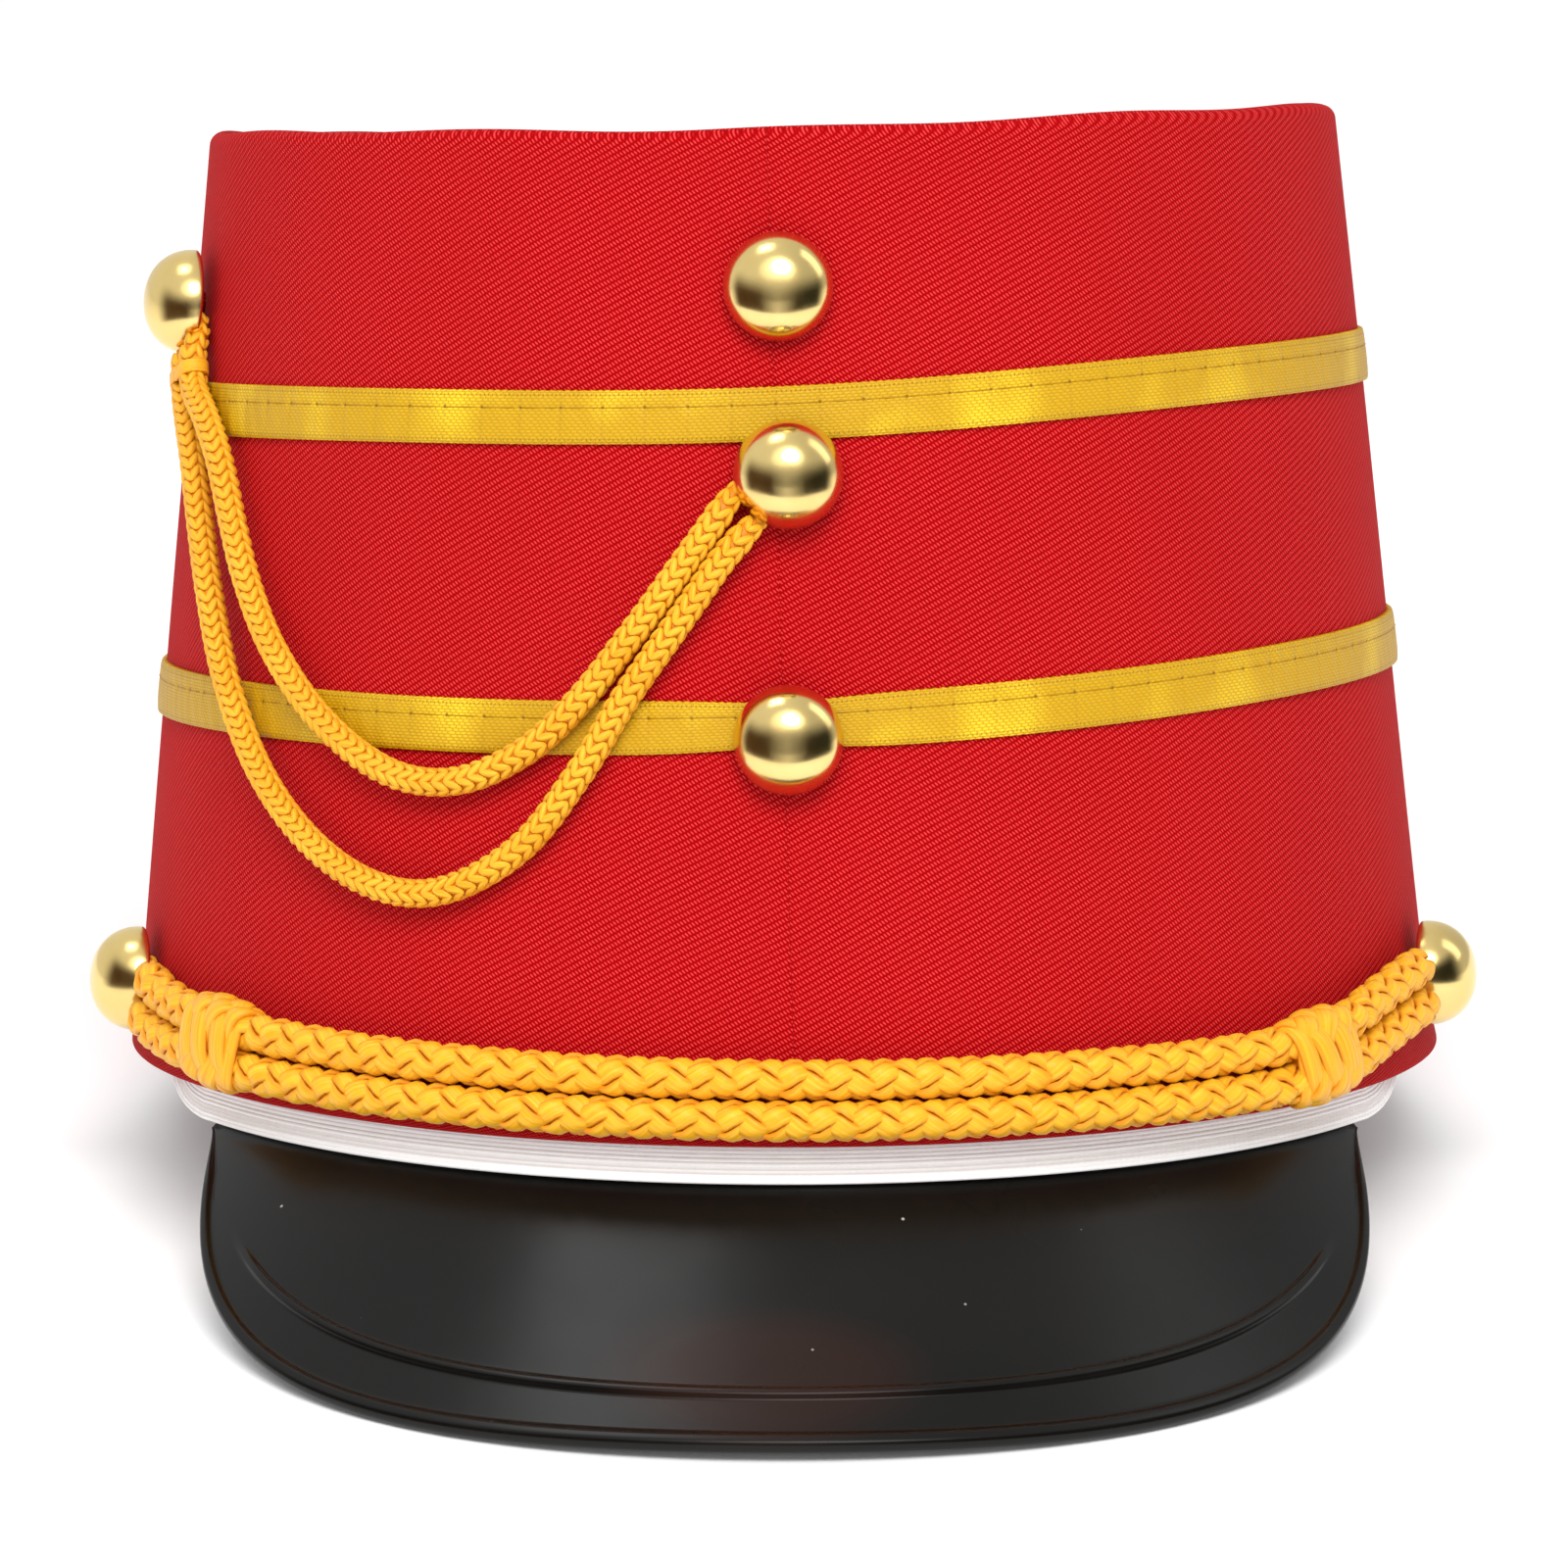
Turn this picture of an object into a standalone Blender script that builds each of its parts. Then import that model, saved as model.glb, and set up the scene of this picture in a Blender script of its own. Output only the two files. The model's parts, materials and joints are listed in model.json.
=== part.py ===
"""A costume shako: a tapered twill crown with satin bands, gilt buttons, gold cords and a peak.

The hat is built upright about its own axis, front towards -Y, with the hem at z = 0 at the back.
An empty then leans it back until the peak's edge and the back of the hem both touch the ground.
All lengths are in metres and all angles round the crown are measured from the front, towards +X.
"""

import math

import bmesh
import bpy
from mathutils import Matrix, Vector

# The crown.
CROWN_HEIGHT = 0.1245
RIM_RADIUS = 0.0900
TOP_RADIUS = 0.0769
OVAL = 1.04
WALL = 0.0022
CROWN_LEAN = math.radians(0.7)
HEM_FLARE = 0.0008
FLARE_HEIGHT = 0.0120
HEM_DIP = 0.0065
HEM_DIP_SHARPNESS = 1.7
HEM_ROUND = 0.0006
TOP_DIP = 0.0009
TOP_DIP_SHARPNESS = 13.0
TOP_BACK_DIP = 0.0025
TOP_BACK_DIP_SHARPNESS = 4.0
TOP_SLANT = math.radians(1.45)
TOP_EDGE_ROUND = 0.0017
TIP_THICKNESS = 0.0016
TIP_SUNK = 0.0029

# The satin ribbons. Their places and dips are shares of the crown's height.
RIBBON_WIDTH = 0.0069
RIBBON_THICKNESS = 0.0004
RIBBON_SLANT = math.radians(2.2)
RIBBON_PINCH = 0.0012
RIBBON_PINCH_ANGLE = math.radians(7.0)
RIBBONS = (
    # name, height share, dip share, dip sharpness, pinched by a button
    ("ribbon_upper", 0.7145, 0.0137, 11.0, False),
    ("ribbon_lower", 0.4067, 0.0233, 5.0, True),
)

# The buttons. Their places are angles and shares of the crown's height.
BUTTON_DIAMETER = 0.0141
BUTTON_DOME = 0.0055
BUTTON_LIP = 0.0007
SHANK_DIAMETER = 0.0030
SHANK_SHORT = 0.0010
SHANK_OVER_CORD = 0.0026
UNDER_BUTTON_SHARE = 0.39
BUTTONS = (
    # name, angle in degrees, height share, over a ribbon, over cord ends
    ("button_front_top", 0.33, 0.830, False, False),
    ("button_front_middle", 1.00, 0.638, False, True),
    ("button_front_lower", 0.70, 0.368, True, False),
    ("button_swag", -75.0, 0.800, False, True),
    ("button_left", -75.0, 0.067, False, True),
    ("button_right", 75.0, 0.073, False, True),
)

# The peak.
PEAK_ANGLE = math.radians(60.5)
PEAK_LENGTH = 0.0406
PEAK_SLOPE = math.radians(47.0)
PEAK_THICKNESS = 0.0016
PEAK_TUCK = 0.0080
PEAK_OUTLINE_POWER = 4.2
PEAK_OUTLINE_FULLNESS = 1.35
PEAK_END_SHARE = 0.03
BEAD_HEIGHT = 0.0006
BEAD_WIDTH = 0.0024
BEAD_FULL_LENGTH = 0.0100
RIDGE_HEIGHT = 0.0005
RIDGE_WIDTH = 0.0024
RIDGE_SHARE = 0.79
RIDGE_SIDE_SHARE = 0.12
RIDGE_ANGLE = math.radians(48.0)
RIDGE_FADE_ANGLE = math.radians(6.0)

# The chin elastic, turned up round the front. The climb rows are degrees past the straight
# stretch and shares of the height that it climbs inside the crown.
ELASTIC_WIDTH = 0.0060
ELASTIC_THICKNESS = 0.0008
ELASTIC_DROP = 0.0013
ELASTIC_STRAIGHT = math.radians(62.0)
ELASTIC_CLIMB = 0.0150
ELASTIC_CLIMB_ROWS = (
    # degrees past the straight stretch, share of the climb
    (3.0, 0.06),
    (6.0, 0.22),
    (8.6, 0.45),
    (10.6, 0.72),
    (12.0, 1.00),
)

# The braided cap cord: the middle line of its two strands, which a slider knot holds at each side.
STRAND_DIAMETER = 0.0049
STRAND_END_DIAMETER = 0.0020
STRAND_END_LENGTH = 0.0050
STRAND_SEAT = 0.0004
CAP_CORD_ROUTE = (
    # degrees from the front, height in metres
    (-73.2, 0.0083),
    (-69.5, 0.0071),
    (-65.0, 0.0054),
    (-59.0, 0.0044),
    (-52.5, 0.0036),
    (-46.0, 0.0026),
    (-38.0, 0.0018),
    (-25.0, 0.0011),
    (-12.0, 0.0006),
    (0.0, 0.0004),
    (12.0, 0.0004),
    (25.0, 0.0007),
    (36.0, 0.0010),
    (43.0, 0.0016),
    (48.3, 0.0025),
    (53.5, 0.0038),
    (59.0, 0.0057),
    (66.0, 0.0078),
    (73.2, 0.0091),
)
KNOT_ANGLES = (("knot_left", -52.5), ("knot_right", 48.3))
KNOT_LENGTH = 0.0100
KNOT_WRAP = 0.0012
KNOT_BACK_WRAP = 0.0008
KNOT_END_SHARE = 0.45
KNOT_STATIONS = (-1.0, -0.55, 0.0, 0.55, 1.0)

# The knitted swag cords. Degrees from the front, share of the crown's height.
SWAG_DIAMETER = 0.0036
SWAG_END_DIAMETER = 0.0019
SWAG_END_LENGTH = 0.0040
SWAG_INNER_ROUTE = (
    (-72.4, 0.7810),
    (-70.9, 0.7580),
    (-70.0, 0.7330),
    (-68.9, 0.7090),
    (-64.9, 0.6780),
    (-61.2, 0.6350),
    (-58.0, 0.5750),
    (-54.8, 0.5150),
    (-49.9, 0.4440),
    (-42.9, 0.3740),
    (-35.1, 0.3260),
    (-28.2, 0.3210),
    (-21.9, 0.3540),
    (-17.1, 0.4070),
    (-12.8, 0.4750),
    (-10.2, 0.5200),
    (-8.0, 0.5570),
    (-5.8, 0.5930),
    (-4.2, 0.6180),
    (-2.7, 0.6350),
)
SWAG_OUTER_ROUTE = (
    (-75.6, 0.7660),
    (-73.7, 0.7480),
    (-73.0, 0.7280),
    (-72.0, 0.7030),
    (-70.0, 0.6720),
    (-67.6, 0.6330),
    (-64.6, 0.5680),
    (-61.4, 0.4950),
    (-57.0, 0.4060),
    (-50.6, 0.3140),
    (-43.2, 0.2450),
    (-35.6, 0.2070),
    (-28.8, 0.2090),
    (-22.0, 0.2560),
    (-17.0, 0.3330),
    (-13.2, 0.4050),
    (-9.6, 0.4640),
    (-6.9, 0.5090),
    (-4.5, 0.5500),
    (-2.3, 0.5800),
    (-0.5, 0.6040),
)
BINDING_HEIGHT_SHARE = 0.731
BINDING_WRAP = 0.0007
BINDING_WIDTH = 0.0016

# Touching pieces keep this much air between them.
GAP = 0.0003

# How finely round shapes are divided.
CROWN_SEGMENTS = 80
PEAK_SEGMENTS = 46
BUTTON_SEGMENTS = 16
SLEEVE_SEGMENTS = 16
BUTTON_DOME_STEPS = 5
TOP_EDGE_STEPS = 3
CORD_SPACING = 2.2
CORD_SAMPLES = 24


def front_share(angle, sharpness):
    """One at the front, falling to nothing at the back."""
    return ((1.0 + math.cos(angle)) / 2.0) ** sharpness


def hem_height(angle):
    return -HEM_DIP * front_share(angle, HEM_DIP_SHARPNESS)


def top_height(angle):
    """The wall's top edge dips a little at the front and more at the back."""
    slant = math.tan(TOP_SLANT) * TOP_RADIUS * math.sin(angle)
    dip = TOP_DIP * front_share(angle, TOP_DIP_SHARPNESS)
    back_dip = TOP_BACK_DIP * front_share(angle + math.pi, TOP_BACK_DIP_SHARPNESS)
    return CROWN_HEIGHT - dip - back_dip + slant


def crown_radius(angle, height):
    """Half width of the crown's outer face, straight from top to bottom but for a flared hem."""
    straight_rim = RIM_RADIUS - HEM_FLARE
    radius = straight_rim + (TOP_RADIUS - straight_rim) * height / CROWN_HEIGHT
    above_hem = max(0.0, height - hem_height(angle))
    return radius + HEM_FLARE * max(0.0, 1.0 - above_hem / FLARE_HEIGHT) ** 2


def crown_point(angle, height, outward=0.0):
    """A point on the crown's outer face, or off it by the given length."""
    radius = crown_radius(angle, height)
    x = -math.tan(CROWN_LEAN) * height + (radius + outward) * math.sin(angle)
    y = -(radius * OVAL + outward) * math.cos(angle)
    return Vector((x, y, height))


def crown_frame(angle, height, outward):
    """A place on the crown: X along it, Y up it and Z straight out of it."""
    step = 0.001
    along = crown_point(angle + step, height) - crown_point(angle - step, height)
    upward = crown_point(angle, height + step) - crown_point(angle, height - step)
    along.normalize()
    out = along.cross(upward).normalized()
    upward = out.cross(along)
    frame = Matrix((along, upward, out)).transposed().to_4x4()
    frame.translation = crown_point(angle, height, outward)
    return frame


def full_turn(count):
    return [math.tau * index / count for index in range(count)]


def new_material(name, colour, roughness, metallic=0.0):
    material = bpy.data.materials.new(name)
    material.use_nodes = True
    shader = material.node_tree.nodes["Principled BSDF"]
    shader.inputs["Base Color"].default_value = (*colour, 1.0)
    shader.inputs["Roughness"].default_value = roughness
    shader.inputs["Metallic"].default_value = metallic
    material.diffuse_color = (*colour, 1.0)
    return material


def add_object(name, data, material, seat):
    """Link an object with one material and set it on the hat's seat."""
    data.materials.append(material)
    thing = bpy.data.objects.new(name, data)
    bpy.context.scene.collection.objects.link(thing)
    thing.parent = seat
    return thing


def mesh_from(name, shape):
    """Turn a bmesh into a mesh with its faces pointing out and shaded smooth."""
    bmesh.ops.recalc_face_normals(shape, faces=shape.faces)
    mesh = bpy.data.meshes.new(name)
    shape.to_mesh(mesh)
    shape.free()
    mesh.shade_smooth()
    mesh.set_sharp_from_angle(angle=math.radians(35.0))
    return mesh


def swept_mesh(name, sections, closed):
    """Join closed cross sections in order, back to the first or with a cap at each end."""
    shape = bmesh.new()
    loops = [[shape.verts.new(point) for point in section] for section in sections]
    pairs = list(zip(loops, loops[1:]))
    if closed:
        pairs.append((loops[-1], loops[0]))
    for near, far in pairs:
        for index in range(len(near)):
            after = (index + 1) % len(near)
            shape.faces.new((near[index], near[after], far[after], far[index]))
    if not closed:
        shape.faces.new(loops[0])
        shape.faces.new(list(reversed(loops[-1])))
        ends = [face for face in shape.faces if len(face.verts) > 4]
        bmesh.ops.triangulate(shape, faces=ends)
    return mesh_from(name, shape)


def turned_mesh(name, profile, segments):
    """Spin a profile of radius and height about Z. Its two ends lie on the axis."""
    shape = bmesh.new()
    points = [shape.verts.new((radius, 0.0, height)) for radius, height in profile]
    edges = [shape.edges.new(pair) for pair in zip(points, points[1:])]
    bmesh.ops.spin(
        shape, geom=points + edges, cent=(0.0, 0.0, 0.0), axis=(0.0, 0.0, 1.0),
        angle=math.tau, steps=segments, use_merge=True,
    )
    bmesh.ops.remove_doubles(shape, verts=shape.verts, dist=1e-6)
    return mesh_from(name, shape)


def wall_section(angle):
    """The wall cut at one angle: up the outside, over the turned edge and down the inside."""
    low = hem_height(angle)
    high = top_height(angle)
    edge = min(TOP_EDGE_ROUND, WALL * 0.9)
    outside = [(low, HEM_ROUND - WALL), (low, -HEM_ROUND), (low + HEM_ROUND, 0.0)]
    flare_top = low + FLARE_HEIGHT
    straight_top = high - edge
    outside += [(low + FLARE_HEIGHT * share, 0.0) for share in (0.3, 0.6, 1.0)]
    outside += [(flare_top + (straight_top - flare_top) * share, 0.0) for share in (0.25, 0.5, 0.75)]
    for step in range(TOP_EDGE_STEPS + 1):
        turn = math.pi / 2.0 * step / TOP_EDGE_STEPS
        outside.append((straight_top + edge * math.sin(turn), edge * (math.cos(turn) - 1.0)))
    inside = [(high, -WALL), ((flare_top + high) / 2.0, -WALL), (flare_top, -WALL)]
    inside += [(low + FLARE_HEIGHT * share, -WALL) for share in (0.6, 0.3)]
    inside.append((low + HEM_ROUND, -WALL))
    return [crown_point(angle, height, outward) for height, outward in outside + inside]


def make_crown_wall(seat, material):
    sections = [wall_section(angle) for angle in full_turn(CROWN_SEGMENTS)]
    add_object("crown_wall", swept_mesh("crown_wall", sections, closed=True), material, seat)


def tip_plane(point, sunk):
    """Height of the crown's flat top over a point in plan."""
    return CROWN_HEIGHT + math.tan(TOP_SLANT) * point.x - TIP_SUNK - sunk


def make_crown_tip(seat, material):
    """A flat disc set inside the wall, just below its top edge."""
    shape = bmesh.new()
    rings = []
    for sunk in (0.0, TIP_THICKNESS):
        ring = []
        for angle in full_turn(CROWN_SEGMENTS):
            height = tip_plane(crown_point(angle, CROWN_HEIGHT), sunk)
            point = crown_point(angle, height, -WALL - GAP)
            point.z = tip_plane(point, sunk)
            ring.append(shape.verts.new(point))
        shape.faces.new(ring)
        rings.append(ring)
    upper, lower = rings
    for index in range(CROWN_SEGMENTS):
        after = (index + 1) % CROWN_SEGMENTS
        shape.faces.new((upper[index], upper[after], lower[after], lower[index]))
    add_object("crown_tip", mesh_from("crown_tip", shape), material, seat)


def ribbon_height(angle, share, dip, sharpness):
    slant = math.tan(RIBBON_SLANT) * RIM_RADIUS * math.sin(angle)
    return CROWN_HEIGHT * (share - dip * front_share(angle, sharpness)) + slant


def make_ribbons(seat, material):
    for name, share, dip, sharpness, pinched in RIBBONS:
        sections = []
        for angle in full_turn(CROWN_SEGMENTS):
            middle = ribbon_height(angle, share, dip, sharpness)
            width = RIBBON_WIDTH
            if pinched:
                turn = min(angle, math.tau - angle) / RIBBON_PINCH_ANGLE
                width -= RIBBON_PINCH * math.exp(-turn * turn)
            low = middle - width / 2.0
            high = middle + width / 2.0
            face = GAP + RIBBON_THICKNESS
            corners = ((low, GAP), (low, face), (high, face), (high, GAP))
            sections.append([crown_point(angle, height, out) for height, out in corners])
        add_object(name, swept_mesh(name, sections, closed=True), material, seat)


def button_profile(shank):
    """Half of a button cut through its middle, from the shank's foot to the top of the dome."""
    radius = BUTTON_DIAMETER / 2.0
    profile = [(0.0, 0.0), (SHANK_DIAMETER / 2.0, 0.0), (SHANK_DIAMETER / 2.0, shank)]
    profile.append((radius - BUTTON_LIP, shank))
    for step in range(BUTTON_DOME_STEPS):
        turn = math.pi / 2.0 * step / BUTTON_DOME_STEPS
        rise = (BUTTON_DOME - BUTTON_LIP) * math.sin(turn)
        profile.append((radius * math.cos(turn) ** 0.9, shank + BUTTON_LIP + rise))
    profile.append((0.0, shank + BUTTON_DOME))
    return profile


def make_buttons(seat, material):
    for name, degrees, share, over_ribbon, over_cords in BUTTONS:
        shank = SHANK_OVER_CORD if over_cords else SHANK_SHORT
        foot = GAP * 2.0 + RIBBON_THICKNESS if over_ribbon else GAP
        mesh = turned_mesh(name, button_profile(shank), BUTTON_SEGMENTS)
        button = add_object(name, mesh, material, seat)
        button.matrix_local = crown_frame(math.radians(degrees), CROWN_HEIGHT * share, foot)


def peak_length(angle):
    """How far the peak reaches from its bend, longest in front and almost nothing at its ends."""
    share = 1.0 - (abs(angle) / PEAK_ANGLE) ** PEAK_OUTLINE_POWER
    share = max(0.0, share) ** PEAK_OUTLINE_FULLNESS
    return PEAK_LENGTH * (PEAK_END_SHARE + (1.0 - PEAK_END_SHARE) * share)


def peak_bend():
    """How far below the hem the peak turns outwards, just clear of the elastic."""
    return ELASTIC_DROP + ELASTIC_WIDTH / 2.0 + GAP


def peak_section(angle):
    """The peak cut at one angle: down its upper face, round the bead and back underneath."""
    length = peak_length(angle)
    bead = min(1.0, length / BEAD_FULL_LENGTH)
    bead_width = BEAD_WIDTH * bead
    ridge_at = length * (RIDGE_SHARE - RIDGE_SIDE_SHARE * (angle / RIDGE_ANGLE) ** 2)
    ridge_at = max(ridge_at, length * 0.4)
    fade = min(1.0, max(0.0, (RIDGE_ANGLE - abs(angle)) / RIDGE_FADE_ANGLE))
    ridge_width = RIDGE_WIDTH * bead
    rise = BEAD_HEIGHT * bead
    crest = RIDGE_HEIGHT * fade * bead
    upper = [
        # distance from the bend, height above the plain face
        (length * 0.2, 0.0),
        (ridge_at - ridge_width * 0.5, 0.0),
        (ridge_at - ridge_width * 0.15, crest),
        (ridge_at + ridge_width * 0.15, crest),
        (ridge_at + ridge_width * 0.5, 0.0),
        (length - bead_width, 0.0),
        (length - bead_width * 0.7, rise),
        (length - bead_width * 0.25, rise),
        (length, -PEAK_THICKNESS * 0.3),
        (length, -PEAK_THICKNESS * 0.9),
        (length - bead_width * 0.3, -PEAK_THICKNESS - rise * 0.4),
        (length - bead_width, -PEAK_THICKNESS),
        (length * 0.35, -PEAK_THICKNESS),
    ]
    cosine = math.cos(PEAK_SLOPE)
    sine = math.sin(PEAK_SLOPE)
    drop = peak_bend()
    sloped = [(run * cosine + up * sine, drop + run * sine - up * cosine) for run, up in upper]
    inner_bend = drop + PEAK_THICKNESS * (cosine - (1.0 - sine) * sine / cosine)
    hem = hem_height(angle)
    stack = WALL + GAP + ELASTIC_THICKNESS + GAP
    root = crown_point(angle, hem, -stack)
    out = Vector((math.sin(angle), -math.cos(angle), 0.0))
    outline = [(0.0, drop)] + sloped + [(-PEAK_THICKNESS, inner_bend), (-PEAK_THICKNESS, 0.0)]
    points = [root + out * reach - Vector((0.0, 0.0, fall)) for reach, fall in outline]
    points.append(crown_point(angle, hem + PEAK_TUCK, -stack - PEAK_THICKNESS))
    points.append(crown_point(angle, hem + PEAK_TUCK, -stack))
    points.append(root)
    return points


def make_peak(seat, material):
    sections = []
    for index in range(PEAK_SEGMENTS + 1):
        angle = PEAK_ANGLE * (2.0 * index / PEAK_SEGMENTS - 1.0)
        sections.append(peak_section(angle))
    add_object("peak", swept_mesh("peak", sections, closed=False), material, seat)


def elastic_route():
    """Angle and height of the elastic's middle line, from one sewn end to the other."""
    rows = []
    count = round(ELASTIC_STRAIGHT / (math.tau / CROWN_SEGMENTS)) * 2
    for index in range(count + 1):
        angle = ELASTIC_STRAIGHT * (2.0 * index / count - 1.0)
        rows.append((angle, hem_height(angle) - ELASTIC_DROP))
    foot = rows[-1][1]
    for degrees, share in ELASTIC_CLIMB_ROWS:
        angle = ELASTIC_STRAIGHT + math.radians(degrees)
        rows.append((angle, foot + ELASTIC_CLIMB * share))
        rows.insert(0, (-angle, foot + ELASTIC_CLIMB * share))
    return rows


def make_chin_elastic(seat, material):
    route = elastic_route()
    sections = []
    for index, (angle, height) in enumerate(route):
        before = route[max(0, index - 1)]
        after = route[min(len(route) - 1, index + 1)]
        along = Vector(((after[0] - before[0]) * RIM_RADIUS, after[1] - before[1])).normalized()
        half_turn = -along.y * ELASTIC_WIDTH / 2.0 / RIM_RADIUS
        half_rise = along.x * ELASTIC_WIDTH / 2.0
        near = -WALL - GAP
        far = near - ELASTIC_THICKNESS
        corners = ((-1.0, near), (1.0, near), (1.0, far), (-1.0, far))
        sections.append([
            crown_point(angle + side * half_turn, height + side * half_rise, out)
            for side, out in corners
        ])
    add_object("chin_elastic", swept_mesh("chin_elastic", sections, closed=False), material, seat)


def smooth_route(rows):
    """Samples of a smooth curve through hand-placed rows of numbers."""
    vectors = [Vector(row) for row in rows]
    padded = [vectors[0] * 2.0 - vectors[1]] + vectors + [vectors[-1] * 2.0 - vectors[-2]]
    samples = []
    for one, two, three, four in zip(padded, padded[1:], padded[2:], padded[3:]):
        for step in range(CORD_SAMPLES):
            t = step / CORD_SAMPLES
            bend = one * 2.0 - two * 5.0 + three * 4.0 - four
            twist = two * 3.0 - one - three * 3.0 + four
            samples.append((two * 2.0 + (three - one) * t + bend * t * t + twist * t ** 3) / 2.0)
    samples.append(vectors[-1])
    return samples


def evenly_spaced(samples, place, spacing):
    """Rows read from the samples at even steps of the real length along the placed curve."""
    points = [place(row) for row in samples]
    lengths = [0.0]
    for near, far in zip(points, points[1:]):
        lengths.append(lengths[-1] + (far - near).length)
    count = max(2, round(lengths[-1] / spacing))
    rows = []
    index = 0
    for step in range(count + 1):
        target = lengths[-1] * step / count
        while index < len(lengths) - 2 and lengths[index + 1] < target:
            index += 1
        share = (target - lengths[index]) / (lengths[index + 1] - lengths[index])
        rows.append((samples[index].lerp(samples[index + 1], share), target))
    return rows, lengths[-1]


def make_cord(name, points, radii, material, seat):
    """A plain round cord: a curve with a bevel, one radius at each point."""
    curve = bpy.data.curves.new(name, "CURVE")
    curve.dimensions = "3D"
    curve.bevel_depth = max(radii)
    curve.bevel_resolution = 2
    curve.use_fill_caps = True
    spline = curve.splines.new("POLY")
    spline.points.add(len(points) - 1)
    for knot, point, radius in zip(spline.points, points, radii):
        knot.co = (*point, 1.0)
        knot.radius = radius / curve.bevel_depth
    add_object(name, curve, material, seat)


def end_share(run, length, tail):
    """Zero at a cord's ends, which lie thin under a button, rising to one past its rim."""
    under = BUTTON_DIAMETER * UNDER_BUTTON_SHARE
    share = min(1.0, max(0.0, min(run, length - run) - under) / tail)
    return share * share * (3.0 - 2.0 * share)


def knot_share(angle):
    """One at a slider knot, falling to nothing a knot's length away from it."""
    reach = KNOT_LENGTH * 1.3 / RIM_RADIUS
    nearest = min(abs(angle - math.radians(degrees)) for _, degrees in KNOT_ANGLES)
    share = max(0.0, 1.0 - max(0.0, nearest / reach - 0.5))
    return share * share * (3.0 - 2.0 * share)


def strand_offset(angle):
    """How far off the crown a full strand's middle runs. The knots lift it."""
    plain = STRAND_SEAT + STRAND_DIAMETER / 2.0
    lifted = GAP + KNOT_BACK_WRAP + GAP + STRAND_DIAMETER / 2.0
    return plain + max(0.0, lifted - plain) * knot_share(angle)


def cap_cord_rows():
    return smooth_route([(math.radians(degrees), height) for degrees, height in CAP_CORD_ROUTE])


def beside_cap_cord(rows, angle, shift):
    """Angle and height of the point that lies a given length above the cap cord's middle line."""
    index = min(range(1, len(rows) - 1), key=lambda row: abs(rows[row].x - angle))
    before = rows[index - 1]
    after = rows[index + 1]
    along = Vector(((after.x - before.x) * RIM_RADIUS, after.y - before.y))
    height = rows[index].y + along.y * RIM_RADIUS / along.x * (angle - rows[index].x)
    along.normalize()
    return Vector((angle - along.y * shift / RIM_RADIUS, height + along.x * shift))


def strand_pitch():
    return STRAND_DIAMETER + GAP


def make_cap_cord(seat, material):
    """Two strands, one above the other, that lie on the crown between the side buttons."""
    middle = cap_cord_rows()
    for name, side in (("cap_cord_upper", 0.5), ("cap_cord_lower", -0.5)):
        samples = [beside_cap_cord(middle, row.x, strand_pitch() * side) for row in middle]

        def place(row):
            return crown_point(row.x, row.y, strand_offset(row.x))

        rows, length = evenly_spaced(samples, place, STRAND_DIAMETER * CORD_SPACING)
        points = []
        radii = []
        for row, run in rows:
            share = end_share(run, length, STRAND_END_LENGTH)
            end_offset = GAP + STRAND_END_DIAMETER / 2.0
            offset = end_offset + (strand_offset(row.x) - end_offset) * share
            thickness = STRAND_END_DIAMETER + (STRAND_DIAMETER - STRAND_END_DIAMETER) * share
            points.append(crown_point(row.x, row.y, offset))
            radii.append(thickness / 2.0)
        make_cord(name, points, radii, material, seat)


def oval_loop(half_spread, radius, wrap, count):
    """Offsets round two cords that lie side by side: half circles joined by straight sides."""
    loop = []
    circumscribed = (radius + wrap) / math.cos(math.pi / count)
    for index in range(count):
        turn = math.tau * (index + 0.5) / count
        straight = math.copysign(half_spread, math.sin(turn))
        loop.append((straight + circumscribed * math.sin(turn), circumscribed * math.cos(turn)))
    return loop


def make_knots(seat, material):
    """Barrel-shaped sleeves round both strands, open through the middle for them."""
    middle = cap_cord_rows()
    bore = STRAND_DIAMETER / 2.0 + GAP
    spread = strand_pitch() / 2.0
    outer = oval_loop(spread, bore, KNOT_WRAP, SLEEVE_SEGMENTS)
    inner = oval_loop(spread, bore, 0.0, SLEEVE_SEGMENTS)
    for name, degrees in KNOT_ANGLES:
        centre = math.radians(degrees)
        base = strand_offset(centre)
        sections = []
        for (high, deep), (bore_high, bore_deep) in zip(outer, inner):
            section = []
            for station in KNOT_STATIONS:
                bulge = 1.0 - (1.0 - KNOT_END_SHARE) * station * station
                up = bore_high + (high - bore_high) * bulge
                out = bore_deep + (deep - bore_deep) * bulge
                section.append((station, up, max(out, GAP - base)))
            section += [(station, bore_high, bore_deep) for station in reversed(KNOT_STATIONS)]
            points = []
            for station, up, out in section:
                angle = centre + station * KNOT_LENGTH / 2.0 / RIM_RADIUS
                row = beside_cap_cord(middle, angle, up)
                points.append(crown_point(row.x, row.y, strand_offset(angle) + out))
            sections.append(points)
        add_object(name, swept_mesh(name, sections, closed=True), material, seat)


def swag_offset():
    """The hanging cords pass over the ribbons."""
    return GAP + RIBBON_THICKNESS + GAP + SWAG_DIAMETER / 2.0


def swag_samples(route):
    return smooth_route([(math.radians(degrees), CROWN_HEIGHT * share) for degrees, share in route])


def swag_place(row):
    return crown_point(row.x, row.y, swag_offset())


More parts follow.
